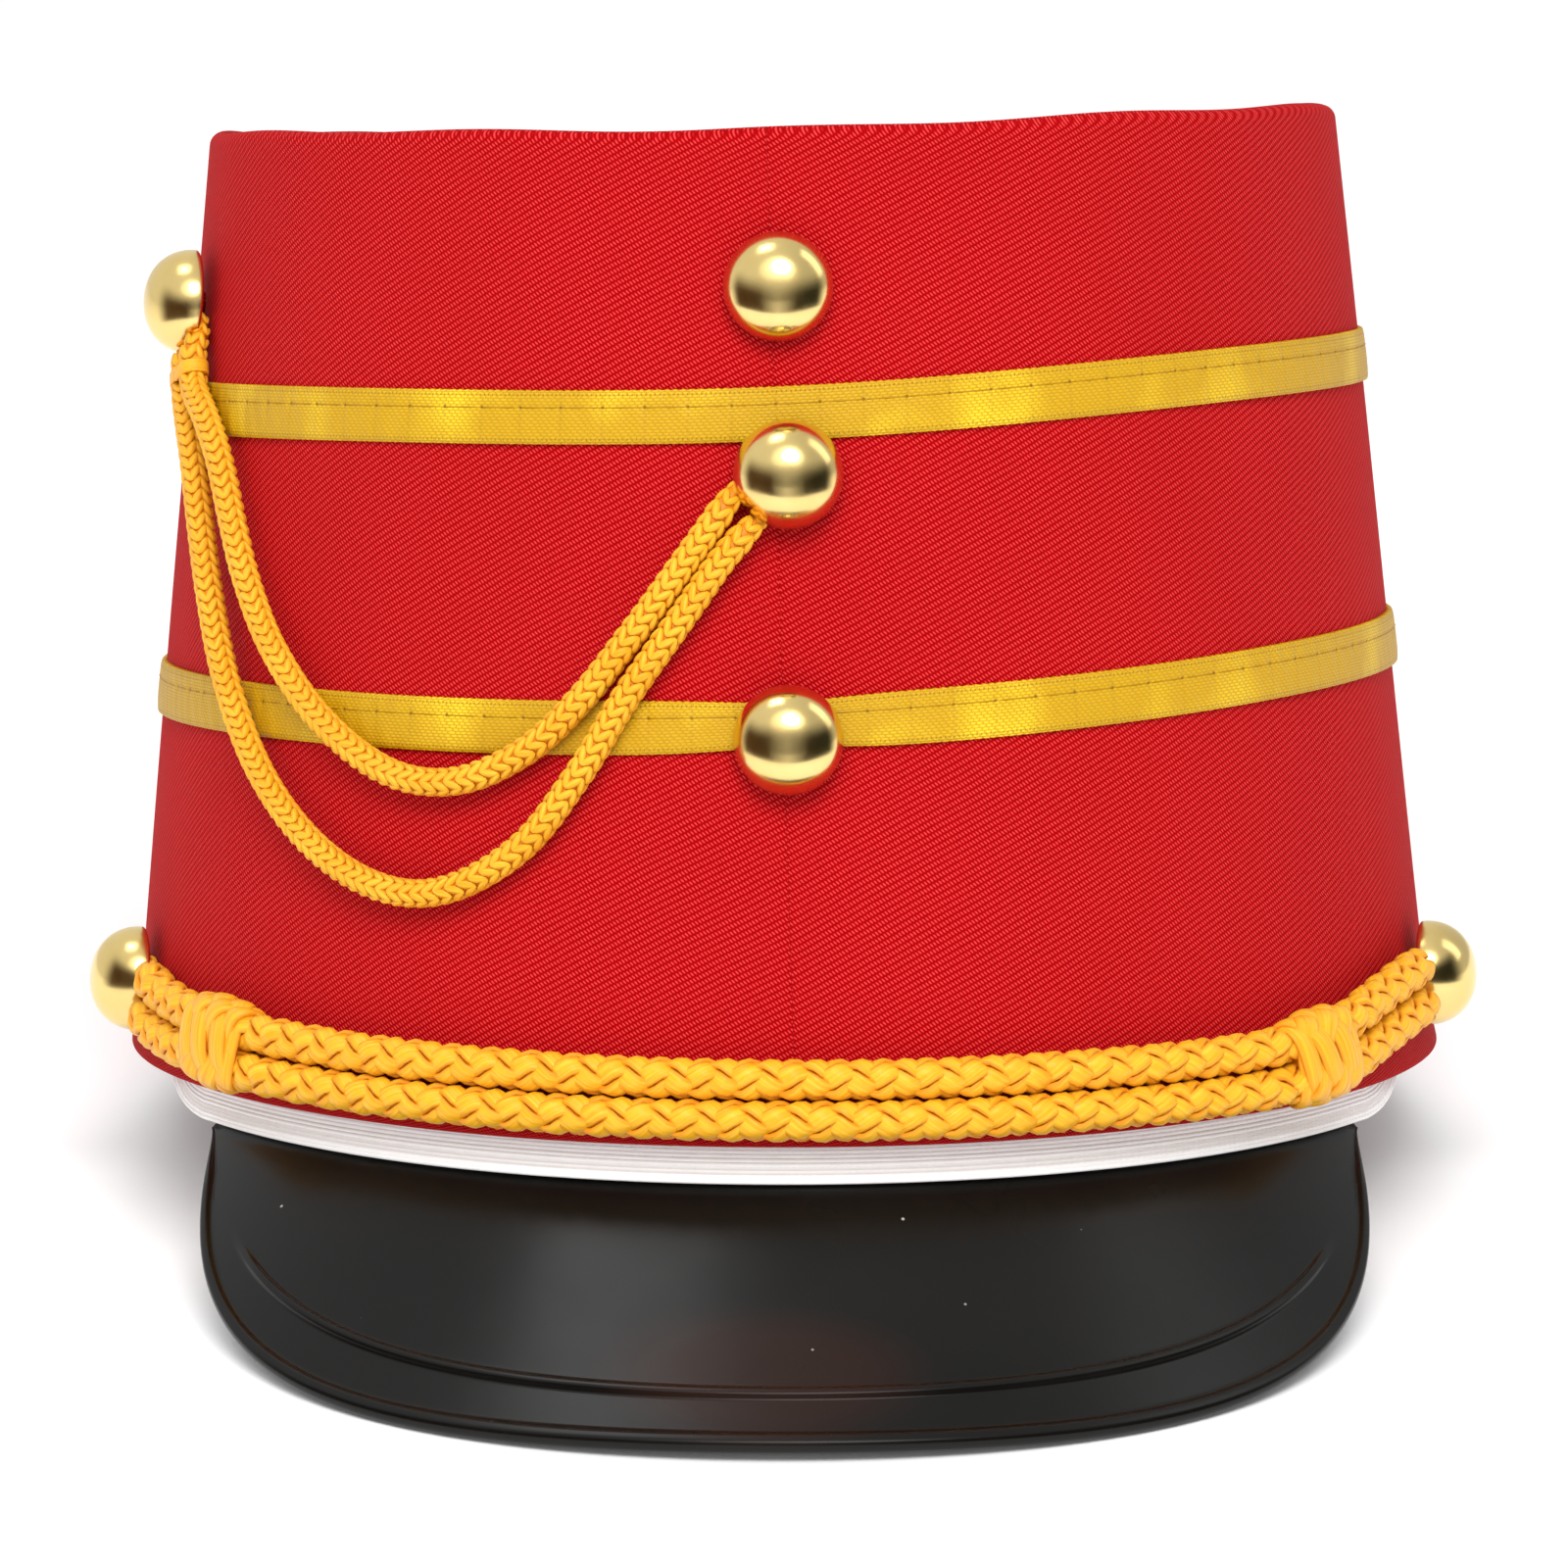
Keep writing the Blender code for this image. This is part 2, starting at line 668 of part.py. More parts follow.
def make_swag_cords(seat, material):
    """Two cords that hang in loops from the side button to the middle one in front."""
    for name, route in (("swag_cord_inner", SWAG_INNER_ROUTE), ("swag_cord_outer", SWAG_OUTER_ROUTE)):
        samples = swag_samples(route)
        rows, length = evenly_spaced(samples, swag_place, SWAG_DIAMETER * CORD_SPACING)
        points = []
        radii = []
        for row, run in rows:
            share = end_share(run, length, SWAG_END_LENGTH)
            end_offset = GAP + SWAG_END_DIAMETER / 2.0
            offset = end_offset + (swag_offset() - end_offset) * share
            thickness = SWAG_END_DIAMETER + (SWAG_DIAMETER - SWAG_END_DIAMETER) * share
            points.append(crown_point(row.x, row.y, offset))
            radii.append(thickness / 2.0)
        make_cord(name, points, radii, material, seat)


def make_swag_binding(seat, material):
    """A band of thread square across both hanging cords, just below the button that holds them."""
    height = CROWN_HEIGHT * BINDING_HEIGHT_SHARE
    one = min(swag_samples(SWAG_INNER_ROUTE), key=lambda row: abs(row.y - height))
    near = swag_place(one)
    far = min((swag_place(row) for row in swag_samples(SWAG_OUTER_ROUTE)),
              key=lambda point: (point - near).length)
    across = near - far
    place = crown_frame(one.x, one.y, 0.0)
    out = place.to_3x3().col[2]
    wide = (across - out * across.dot(out)).normalized()
    middle = (near + far) / 2.0
    bore = SWAG_DIAMETER / 2.0 + GAP
    outer = oval_loop(across.length / 2.0, bore, BINDING_WRAP, SLEEVE_SEGMENTS)
    inner = oval_loop(across.length / 2.0, bore, 0.0, SLEEVE_SEGMENTS)
    along = out.cross(wide)
    sections = []
    for loose, tight in zip(outer, inner):
        corners = ((tight, -0.5), (loose, -0.5), (loose, 0.5), (tight, 0.5))
        sections.append([
            middle + wide * side + out * max(depth, -bore) + along * (end * BINDING_WIDTH)
            for (side, depth), end in corners
        ])
    add_object("swag_binding", swept_mesh("swag_binding", sections, closed=True), material, seat)


def settle(seat):
    """Lean the hat until its front and back both touch the ground, centred on the origin."""
    pieces = [thing for thing in bpy.data.objects if thing.parent == seat]
    bpy.context.view_layer.update()
    points = []
    cords = []
    for piece in pieces:
        if piece.type == "MESH":
            points += [piece.matrix_local @ corner.co for corner in piece.data.vertices]
        else:
            cords.append(piece)
    lean = 0.0
    for _ in range(12):
        turn = Matrix.Rotation(lean, 3, "X")
        turned = [turn @ point for point in points]
        front = min((point for point in turned if point.y < 0.0), key=lambda point: point.z)
        back = min((point for point in turned if point.y > 0.0), key=lambda point: point.z)
        lean -= math.atan2(back.z - front.z, back.y - front.y)
    turn = Matrix.Rotation(lean, 3, "X")
    turned = [turn @ point for point in points]
    lowest = [min(point[axis] for point in turned) for axis in range(3)]
    highest = [max(point[axis] for point in turned) for axis in range(3)]
    seat.rotation_euler = (lean, 0.0, 0.0)
    seat.location = (
        -(lowest[0] + highest[0]) / 2.0, -(lowest[1] + highest[1]) / 2.0, -lowest[2],
    )
    bpy.context.view_layer.update()


def main():
    for thing in list(bpy.data.objects):
        bpy.data.objects.remove(thing, do_unlink=True)
    seat = bpy.data.objects.new("hat_seat", None)
    bpy.context.scene.collection.objects.link(seat)
    red_twill = new_material("red_twill", (0.55, 0.010, 0.016), 0.75)
    satin = new_material("yellow_satin", (0.86, 0.50, 0.030), 0.35)
    gold_cord = new_material("gold_cord", (0.88, 0.42, 0.020), 0.50)
    elastic = new_material("white_elastic", (0.82, 0.81, 0.82), 0.80)
    plastic = new_material("black_plastic", (0.016, 0.015, 0.014), 0.16)
    gilt = new_material("gilt", (0.83, 0.62, 0.24), 0.12, 1.0)
    make_crown_wall(seat, red_twill)
    make_crown_tip(seat, red_twill)
    make_ribbons(seat, satin)
    make_buttons(seat, gilt)
    make_peak(seat, plastic)
    make_chin_elastic(seat, elastic)
    make_cap_cord(seat, gold_cord)
    make_knots(seat, gold_cord)
    make_swag_cords(seat, gold_cord)
    make_swag_binding(seat, gold_cord)
    settle(seat)


main()
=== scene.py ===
"""The finished looks of a costume shako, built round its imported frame.

The pieces are worked out in the hat's own upright axes, front towards -Y and the hem at z = 0 at
the back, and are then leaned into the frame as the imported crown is. Lengths are in metres, and
angles round the crown are measured from the front, towards +X.
"""

import json
import math

import bmesh
import bpy
import numpy as np
from bpy.props import FloatProperty, FloatVectorProperty, IntProperty, PointerProperty
from mathutils import Matrix, Vector


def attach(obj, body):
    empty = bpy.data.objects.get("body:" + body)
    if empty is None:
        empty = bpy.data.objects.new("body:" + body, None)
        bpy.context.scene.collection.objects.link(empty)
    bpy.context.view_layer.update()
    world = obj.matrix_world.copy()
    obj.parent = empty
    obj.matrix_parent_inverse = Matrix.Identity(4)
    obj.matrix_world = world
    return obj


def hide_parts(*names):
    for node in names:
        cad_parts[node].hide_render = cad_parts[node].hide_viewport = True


bl_info = {
    "name": "Costume shako",
    "version": (1, 0, 0),
    "blender": (4, 5, 0),
    "location": "3D View > Sidebar > Shako",
    "description": "Builds the cloth, cords, buttons and peak of a costume shako round its frame",
    "category": "Object",
}

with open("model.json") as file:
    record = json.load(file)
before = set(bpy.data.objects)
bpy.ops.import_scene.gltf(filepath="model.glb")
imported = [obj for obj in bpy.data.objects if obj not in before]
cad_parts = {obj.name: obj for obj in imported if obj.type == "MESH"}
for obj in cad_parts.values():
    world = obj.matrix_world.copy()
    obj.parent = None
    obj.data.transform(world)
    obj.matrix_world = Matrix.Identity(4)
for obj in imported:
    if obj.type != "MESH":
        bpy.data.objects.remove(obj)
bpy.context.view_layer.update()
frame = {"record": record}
BODY = "root"

# Blender's names for the nodes that are used most.
MATH = "ShaderNodeMath"
VECTOR_MATH = "ShaderNodeVectorMath"
RANGE = "ShaderNodeMapRange"
MIX = "ShaderNodeMix"
NOISE = "ShaderNodeTexNoise"
SEPARATE = "ShaderNodeSeparateXYZ"
COMBINE = "ShaderNodeCombineXYZ"
NAMED = "GeometryNodeInputNamedAttribute"
STORE = "GeometryNodeStoreNamedAttribute"

# The crown, as the part has it.
CROWN_HEIGHT = 0.1245
RIM_RADIUS = 0.0900
TOP_RADIUS = 0.0769
OVAL = 1.04
WALL = 0.0022
CROWN_LEAN = math.radians(0.7)
HEM_FLARE = 0.0008
FLARE_HEIGHT = 0.0120
HEM_DIP = 0.0065
HEM_DIP_SHARPNESS = 1.7
HEM_ROUND = 0.0006
HEM_LIFT = 0.0006
TOP_DIP = 0.0009
TOP_DIP_SHARPNESS = 13.0
TOP_BACK_DIP = 0.0025
TOP_BACK_DIP_SHARPNESS = 4.0
TOP_SLANT = math.radians(1.45)
TOP_EDGE_ROUND = 0.0017
TIP_SUNK = 0.0029
GAP = 0.0003

# The crown's seams, the steps that its wall and top disc are cut into, and how the disc lies.
SEAM_LEAN = math.radians(1.5)
SEAM_FINE = 0.0004
SEAM_WIDE = 0.0060
HEM_STEPS = 5
TOP_EDGE_STEPS = 9
WALL_STEPS = 72
INNER_STEPS = 14
TOP_UNEVENNESS = 0.0002
TIP_CLEARANCE = 0.0001
TIP_SWELL = 0.0003
TIP_SHARES = (1.0, 1.0, 0.998, 0.99, 0.975, 0.95, 0.9, 0.8, 0.65, 0.5, 0.3, 0.12, 0.02)
TIP_DROPS = (0.0016, 0.0011, 0.0007, 0.00035, 0.0001)
TIP_SEGMENTS = 360

# The ribbons. Their places and dips are shares of the crown's height.
RIBBON_WIDTH = 0.0069
RIBBON_THICKNESS = 0.0004
RIBBON_SLANT = math.radians(2.2)
RIBBON_PINCH = 0.0012
RIBBON_PINCH_ANGLE = math.radians(7.0)
RIBBON_SWELL = 0.00018
RIBBON_WAVE = 0.00004
RIBBON_WAVE_LENGTH = 0.0031
PICOT_HEIGHT = 0.00007
PICOT_LENGTH = 0.0011
PUCKER_WIDTH = 0.0006
SELVEDGE_INSET = 0.0006
SELVEDGE_PITCH = 0.0006
SEWING_THICKNESS = 0.0002
SEWING_WIDTH = 0.00018
SEWING_RISE = 0.00016
RIBBON_ROW_SHARES = (-0.5, -0.49, -0.4, -0.25, -0.1, 0.05, 0.14, 0.25, 0.36, 0.44, 0.49, 0.5)
RIBBONS = (
    # name, height share, dip share, dip sharpness, pinched by a button
    ("ribbon_upper", 0.7145, 0.0137, 11.0, False),
    ("ribbon_lower", 0.4067, 0.0233, 5.0, True),
)

# The buttons. Their places are angles and shares of the crown's height.
BUTTON_DIAMETER = 0.0141
BUTTON_DOME = 0.0055
BUTTON_LIP = 0.0007
BUTTON_SKIRT = 0.0012
BUTTON_ROUNDNESS = 0.88
BUTTON_POLE = 0.00005
SHANK_DIAMETER = 0.0030
SHANK_SHORT = 0.0010
SHANK_OVER_CORD = 0.0026
BUTTONS = (
    # name, angle in degrees, height share, over a ribbon, over cord ends
    ("button_front_top", 0.33, 0.830, False, False),
    ("button_front_middle", 1.00, 0.638, False, True),
    ("button_front_lower", 0.70, 0.368, True, False),
    ("button_swag", -75.0, 0.800, False, True),
    ("button_left", -75.0, 0.067, False, True),
    ("button_right", 75.0, 0.073, False, True),
)

# The peak.
PEAK_ANGLE = math.radians(60.5)
PEAK_LENGTH = 0.0406
PEAK_SLOPE = math.radians(47.0)
PEAK_THICKNESS = 0.0016
PEAK_TUCK = 0.0080
PEAK_OUTLINE_POWER = 4.2
PEAK_OUTLINE_FULLNESS = 1.35
PEAK_END_SHARE = 0.03
BEAD_HEIGHT = 0.0006
BEAD_WIDTH = 0.0024
BEAD_FULL_LENGTH = 0.0100
RIDGE_HEIGHT = 0.0005
RIDGE_WIDTH = 0.0024
RIDGE_SHARE = 0.79
RIDGE_SIDE_SHARE = 0.12
RIDGE_ANGLE = math.radians(48.0)
RIDGE_FADE_ANGLE = math.radians(6.0)
PEAK_BEND = 0.0016
PEAK_BEND_FULL_LENGTH = 0.0040
NOSE_SHARE = 0.42
SHARP_EDGE = math.radians(50.0)
# A brown painted reflection low on the peak's front: its place and size.
PAINTED_REFLECTION_PLACE = (-0.0025, 0.0, 0.0084)
PAINTED_REFLECTION_WIDTH = 0.0220
PAINTED_REFLECTION_HEIGHT = 0.0065

# The chin elastic. The climb rows are degrees past the straight stretch and shares of the height
# that it climbs inside the crown.
ELASTIC_WIDTH = 0.0060
ELASTIC_THICKNESS = 0.0008
ELASTIC_DROP = 0.0013
ELASTIC_STRAIGHT = math.radians(62.0)
ELASTIC_CLIMB = 0.0150
ELASTIC_SPACING = 0.0008
RIB_OVERLAP = 1.45
ELASTIC_CLIMB_ROWS = ((3.0, 0.06), (6.0, 0.22), (8.6, 0.45), (10.6, 0.72), (12.0, 1.00))

# The braided cap cord: the middle line of its two ropes, which a slider knot holds at each side.
STRAND_DIAMETER = 0.0049
STRAND_END_DIAMETER = 0.0020
STRAND_UNDER_BUTTON = 0.0042
STRAND_END_LENGTH = 0.0030
STRAND_SEAT = 0.0004
STRAND_FULLNESS = 0.00015
STRAND_SPACING = 0.0009
CAP_CORD_ROUTE = (
    # degrees from the front, height in metres
    (-73.2, 0.0083),
    (-69.5, 0.0071),
    (-65.0, 0.0054),
    (-59.0, 0.0044),
    (-52.5, 0.0036),
    (-46.0, 0.0026),
    (-38.0, 0.0018),
    (-25.0, 0.0011),
    (-12.0, 0.0006),
    (0.0, 0.0004),
    (12.0, 0.0004),
    (25.0, 0.0007),
    (36.0, 0.0010),
    (43.0, 0.0016),
    (48.3, 0.0025),
    (53.5, 0.0038),
    (59.0, 0.0057),
    (66.0, 0.0078),
    (73.2, 0.0091),
)
KNOT_ANGLES = (("knot_left", -52.5), ("knot_right", 48.3))
KNOT_LENGTH = 0.0100
KNOT_BACK_WRAP = 0.0008
KNOT_LEADS = 7
KNOT_BIGHTS = 4
KNOT_SAMPLES = 120
KNOT_SWELL = 0.0006
KNOT_LIFT = 0.00035
KNOT_STRAND_WIDTH = 0.0036
KNOT_STRAND_THICKNESS = 0.0012
KNOT_CORE_EXTRA = 0.0006
KNOT_CORE_POINTS = 13
KNOT_CORE_TAPER = 0.22
KNOT_CLEARANCE = 0.0005
KNOT_TILT_SPAN = 0.02
KNOT_RUN_PER_RADIAN = 0.004

# How sharply thread wound round two cords turns from the flat stretch to the round ends.
WRAP_SHARPNESS = 0.35

# The knitted swag cords. Degrees from the front, share of the crown's height.
SWAG_DIAMETER = 0.0036
SWAG_END_DIAMETER = 0.0026
SWAG_UNDER_BUTTON = 0.0020
SWAG_END_LENGTH = 0.0030
STITCH_SUNK = 0.00034
KNIT_CORE_SUNK = 0.00045
KNIT_LEAN = math.radians(30.0)
KNIT_STITCH_WIDTH = 0.0012
KNIT_STITCH_DEPTH = 0.0010
SWAG_INNER_ROUTE = (
    (-72.4, 0.7810),
    (-70.9, 0.7580),
    (-70.0, 0.7330),
    (-68.9, 0.7090),
    (-64.9, 0.6780),
    (-61.2, 0.6350),
    (-58.0, 0.5750),
    (-54.8, 0.5150),
    (-49.9, 0.4440),
    (-42.9, 0.3740),
    (-35.1, 0.3260),
    (-28.2, 0.3210),
    (-21.9, 0.3540),
    (-17.1, 0.4070),
    (-12.65, 0.4742),
    (-9.9, 0.5185),
    (-7.67, 0.5553),
    (-5.47, 0.5913),
    (-3.95, 0.6165),
    (-2.6, 0.6340),
)
SWAG_OUTER_ROUTE = (
    (-75.6, 0.7660),
    (-73.7, 0.7480),
    (-73.0, 0.7280),
    (-72.0, 0.7030),
    (-70.0, 0.6720),
    (-67.6, 0.6330),
    (-64.6, 0.5680),
    (-61.4, 0.4950),
    (-57.0, 0.4060),
    (-50.6, 0.3140),
    (-43.2, 0.2450),
    (-35.6, 0.2070),
    (-28.8, 0.2090),
    (-22.0, 0.2560),
    (-17.0, 0.3330),
    (-13.35, 0.4058),
    (-9.9, 0.4655),
    (-7.23, 0.5107),
    (-4.83, 0.5517),
    (-2.6, 0.5815),
    (-0.6, 0.6045),
)
SWAG_CORDS = (("swag_cord_inner", SWAG_INNER_ROUTE), ("swag_cord_outer", SWAG_OUTER_ROUTE))
BINDING_HEIGHT_SHARE = 0.731
BINDING_WIDTH = 0.0016
BINDING_TURNS = 5
BINDING_SAMPLES = 40
BINDING_RUN_PER_RADIAN = 0.003
BINDING_THREAD_WIDTH = 0.0006
BINDING_THREAD_THICKNESS = 0.0005
ROUTE_SAMPLES = 24

# How deep a core counts as lying, where a strand's own weave runs from -1 to 1. The thread's
# material paints shade by this depth.
CORE_DEPTH = -0.8

# How finely the looks are divided.
RIBBON_SEGMENTS = 1800
PEAK_SEGMENTS = 220
BUTTON_SEGMENTS = 64

# The camera, where the photograph's stood, and the studio round the hat.
CAMERA_PLACE = (0.0001, -1.1352, 0.3863)
CAMERA_TILT = math.radians(73.76)
CAMERA_LENS = 200.0
CAMERA_SENSOR = 36.0
DARK_ROOM_RADIUS = 0.30
DARK_ROOM_HEIGHT = 0.29
DARK_ROOM_FOOT = 0.001
DARK_ROOM_SEGMENTS = 96
FLOOR_REACH = 4.0
FLOOR_CORNERS = ((-1.0, -1.0), (1.0, -1.0), (1.0, 1.0), (-1.0, 1.0))
LIGHTS_AIM = (0.0, 0.0, 0.07)
STUDIO_LIGHTS = (
    # name, place, width, height, share of the key light's power, lights matt and glossy things
    ("key", (-0.06, -1.25, 1.4), 1.2, 0.9, 0.92, True, False),
    ("front", (0.10, -0.90, 1.02), 0.56, 0.56, 0.26, True, True),
    ("glow", (0.00, -1.00, 1.10), 1.30, 1.00, 0.10, False, True),
    ("above", (-0.38, 0.05, 1.4), 0.45, 0.45, 0.115, False, True),
    ("right", (1.00, 0.10, 0.85), 0.45, 0.95, 0.08, True, True),
)


def lean_of_crown():
    """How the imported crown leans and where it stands, read from the mount on its top."""
    mount = frame["record"]["mounts"][0]
    axis = Vector(mount["axis"])
    turn = Matrix.Rotation(-math.atan2(axis.y, axis.z), 3, "X")
    shift = Vector(mount["pos_m"]) - turn @ Vector((0.0, 0.0, CROWN_HEIGHT - TIP_SUNK))
    return np.array(turn), np.array(shift)


TURN, SHIFT = lean_of_crown()


def to_frame(points):
    """Points in the hat's own axes, carried to the frame."""
    return points @ TURN.T + SHIFT


def turned(vectors):
    """Directions in the hat's own axes, carried to the frame."""
    return vectors @ TURN.T


def unit(vectors):
    """The same directions, each one long."""
    return vectors / np.linalg.norm(vectors, axis=-1, keepdims=True)


def ease(share):
    """A share from nothing to one that starts and ends softly."""
    share = np.clip(share, 0.0, 1.0)
    return share * share * (3.0 - 2.0 * share)


def front_share(angle, sharpness):
    """One at the front, falling to nothing at the back."""
    return ((1.0 + np.cos(angle)) / 2.0) ** sharpness


def hem_height(angle):
    return -HEM_DIP * front_share(angle, HEM_DIP_SHARPNESS)


def top_height(angle):
    """The wall's top edge dips a little at the front and more at the back."""
    slant = math.tan(TOP_SLANT) * TOP_RADIUS * np.sin(angle)
    dip = TOP_DIP * front_share(angle, TOP_DIP_SHARPNESS)
    back_dip = TOP_BACK_DIP * front_share(angle + math.pi, TOP_BACK_DIP_SHARPNESS)
    return CROWN_HEIGHT - dip - back_dip + slant


def crown_radius(angle, height):
    straight_rim = RIM_RADIUS - HEM_FLARE
    radius = straight_rim + (TOP_RADIUS - straight_rim) * height / CROWN_HEIGHT
    above_hem = np.maximum(0.0, height - hem_height(angle))
    return radius + HEM_FLARE * np.maximum(0.0, 1.0 - above_hem / FLARE_HEIGHT) ** 2


def crown_point(angle, height, outward=0.0):
    """Points on the crown's outer face, or off it by the given length, in the hat's own axes."""
    radius = crown_radius(angle, height)
    x = -math.tan(CROWN_LEAN) * height + (radius + outward) * np.sin(angle)
    y = -(radius * OVAL + outward) * np.cos(angle)
    return np.stack(np.broadcast_arrays(x, y, height), axis=-1)


def crown_axes(angle, height):
    """Unit vectors along the crown, up it and out of it."""
    step = 0.001
    along = unit(crown_point(angle + step, height) - crown_point(angle - step, height))
    upward = unit(crown_point(angle, height + step) - crown_point(angle, height - step))
    out = unit(np.cross(along, upward))
    return along, np.cross(out, along), out


def linear(hex_colour):
    """An sRGB hex colour as linear red, green and blue."""
    parts = [int(hex_colour[index:index + 2], 16) / 255.0 for index in (0, 2, 4)]
    return tuple(p / 12.92 if p <= 0.04045 else ((p + 0.055) / 1.055) ** 2.4 for p in parts)


def shell(name, points, weave, close_columns, close_rows):
    """A mesh from columns of points, with the weave's lie in metres as its UV map.

    The weave has one column and one row more than the points where they close on themselves.
    """
    columns, rows = points.shape[:2]
    column = np.arange(columns if close_columns else columns - 1)[:, None]
    row = np.arange(rows if close_rows else rows - 1)[None, :]
    corners = [(column, row), (column + 1, row), (column + 1, row + 1), (column, row + 1)]
    faces = np.stack([(c % columns) * rows + r % rows for c, r in corners], axis=-1).reshape(-1, 4)
    lie = np.stack([weave[c, r] for c, r in corners], axis=-2).reshape(-1, 2)
    mesh = bpy.data.meshes.new(name)
    mesh.from_pydata(points.reshape(-1, 3).tolist(), [], faces.tolist())
    mesh.uv_layers.new(name="weave").data.foreach_set("uv", lie.ravel())
    return mesh


def close_holes(mesh):
    """Cap what is open, point the faces outwards and shade the mesh smooth."""
    shape = bmesh.new()
    shape.from_mesh(mesh)
    open_edges = [edge for edge in shape.edges if edge.is_boundary]
    if open_edges:
        bmesh.ops.holes_fill(shape, edges=open_edges)
    bmesh.ops.recalc_face_normals(shape, faces=shape.faces)
    shape.to_mesh(mesh)
    shape.free()
    mesh.shade_smooth()
    return mesh


def add_piece(name, mesh, node=None, material=None):
    """Put a finished mesh in the scene, and in place of a CAD node if it stands for one."""
    if material is not None:
        mesh.materials.append(material)
    piece = bpy.data.objects.new(name, mesh)
    bpy.context.scene.collection.objects.link(piece)
    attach(piece, BODY)
    if node is not None:
        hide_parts(node)
    return piece


def smooth_route(rows):
    """Samples of a smooth curve through given rows of numbers."""
    points = np.array(rows, float)
    padded = np.vstack((2.0 * points[0] - points[1], points, 2.0 * points[-1] - points[-2]))
    t = (np.arange(ROUTE_SAMPLES) / ROUTE_SAMPLES)[:, None]
    samples = []
    for one, two, three, four in zip(padded, padded[1:], padded[2:], padded[3:]):
        bend = one * 2.0 - two * 5.0 + three * 4.0 - four
        twist = two * 3.0 - one - three * 3.0 + four
        samples.append(two + ((three - one) * t + bend * t ** 2 + twist * t ** 3) / 2.0)
    samples.append(points[-1:])
    return np.vstack(samples)


def evenly_spaced(route, place, spacing):
    """Rows of a route at even steps of the real length along the placed curve, and those lengths."""
    steps = np.linalg.norm(np.diff(place(route), axis=0), axis=1)
    lengths = np.concatenate(([0.0], np.cumsum(steps)))
    runs = np.linspace(0.0, lengths[-1], max(2, round(lengths[-1] / spacing)) + 1)
    rows = [np.interp(runs, lengths, route[:, column]) for column in (0, 1)]
    return np.stack(rows, axis=1), runs


def guide_line(points, outward, run, share, closed=False):
    """A line for a node tree to work along, each point of which knows its directions."""
    if closed:
        along = unit(np.roll(points, -1, axis=0) - np.roll(points, 1, axis=0))
    else:
        along = unit(np.gradient(points, axis=0))
    out = unit(outward - along * np.sum(outward * along, axis=1, keepdims=True))
    side = np.cross(out, along)
    count = len(points)
    edges = [(index, (index + 1) % count) for index in range(count if closed else count - 1)]
    mesh = bpy.data.meshes.new("guide")
    mesh.from_pydata(points.tolist(), edges, [])
    for label, values in (("along", along), ("out", out), ("side", side)):
        layer = mesh.attributes.new(label, "FLOAT_VECTOR", "POINT")
        layer.data.foreach_set("vector", values.astype(np.float32).ravel())
    for label, values in (("run", run), ("share", share)):
        layer = mesh.attributes.new(label, "FLOAT", "POINT")
        layer.data.foreach_set("value", np.broadcast_to(values, count).astype(np.float32))
    return mesh


def add_node(tree, kind, links=None, **settings):
    """Add a node, with its settings first and then its inputs.

    An input is a value, a socket to link, or a node, whose first output in use is linked.
    """
    node = tree.nodes.new(kind)
    for label, value in settings.items():
        setattr(node, label, value)
    for socket, value in (links or {}).items():
        if isinstance(value, bpy.types.Node):
            value = next(output for output in value.outputs if output.enabled)
        if isinstance(value, bpy.types.NodeSocket):
            tree.links.new(value, node.inputs[socket])
        else:
            node.inputs[socket].default_value = value
    return node


def new_tree(name, inputs):
    """An empty geometry node tree with named inputs, and its two group nodes."""
    tree = bpy.data.node_groups.new(name, "GeometryNodeTree")
    tree.interface.new_socket(name="Geometry", in_out="INPUT", socket_type="NodeSocketGeometry")
    for label, kind in inputs:
        tree.interface.new_socket(name=label, in_out="INPUT", socket_type="NodeSocket" + kind)
    tree.interface.new_socket(name="Geometry", in_out="OUTPUT", socket_type="NodeSocketGeometry")
    return tree, tree.nodes.new("NodeGroupInput").outputs, tree.nodes.new("NodeGroupOutput")


def ways_round(tree, angle):
    """The way straight out from a guide line at an angle from its own way out, and the way round."""
    cosine = add_node(tree, MATH, {0: angle}, operation="COSINE")
    sine = add_node(tree, MATH, {0: angle}, operation="SINE")
    back = add_node(tree, MATH, {0: sine, 1: -1.0}, operation="MULTIPLY")
    out = add_node(tree, NAMED, {"Name": "out"}, data_type="FLOAT_VECTOR")
    side = add_node(tree, NAMED, {"Name": "side"}, data_type="FLOAT_VECTOR")
    first = add_node(tree, VECTOR_MATH, {0: out, "Scale": cosine}, operation="SCALE")
    second = add_node(tree, VECTOR_MATH, {0: side, "Scale": sine}, operation="SCALE")
    third = add_node(tree, VECTOR_MATH, {0: out, "Scale": back}, operation="SCALE")
    fourth = add_node(tree, VECTOR_MATH, {0: side, "Scale": cosine}, operation="SCALE")
    outward = add_node(tree, VECTOR_MATH, {0: first, 1: second}, operation="ADD")
    turning = add_node(tree, VECTOR_MATH, {0: third, 1: fourth}, operation="ADD")
    return outward, turning


def one_way_and_the_other(tree, index):
    """Minus one and one by turns, as an index counts up."""
    parity = add_node(tree, MATH, {0: index, 1: 2.0}, operation="MODULO")
    return add_node(tree, MATH, {0: parity, 1: 2.0, 2: -1.0}, operation="MULTIPLY_ADD")


def core_of(tree, entry):
    """A plain round core along the guide line, marked as lying deep, where the thread's material
    paints shade.
    """
    line = add_node(tree, "GeometryNodeMeshToCurve", {"Mesh": entry["Geometry"]})
    links = {"Resolution": 10, "Radius": entry["Core Radius"]}
    circle = add_node(tree, "GeometryNodeCurvePrimitiveCircle", links)
    share = add_node(tree, NAMED, {"Name": "share"}, data_type="FLOAT")
    links = {"Curve": line, "Profile Curve": circle, "Scale": share, "Fill Caps": True}
    core = add_node(tree, "GeometryNodeCurveToMesh", links)
    links = {"Geometry": core, "Name": "depth", "Value": CORE_DEPTH}
    return add_node(tree, STORE, links, domain="POINT")


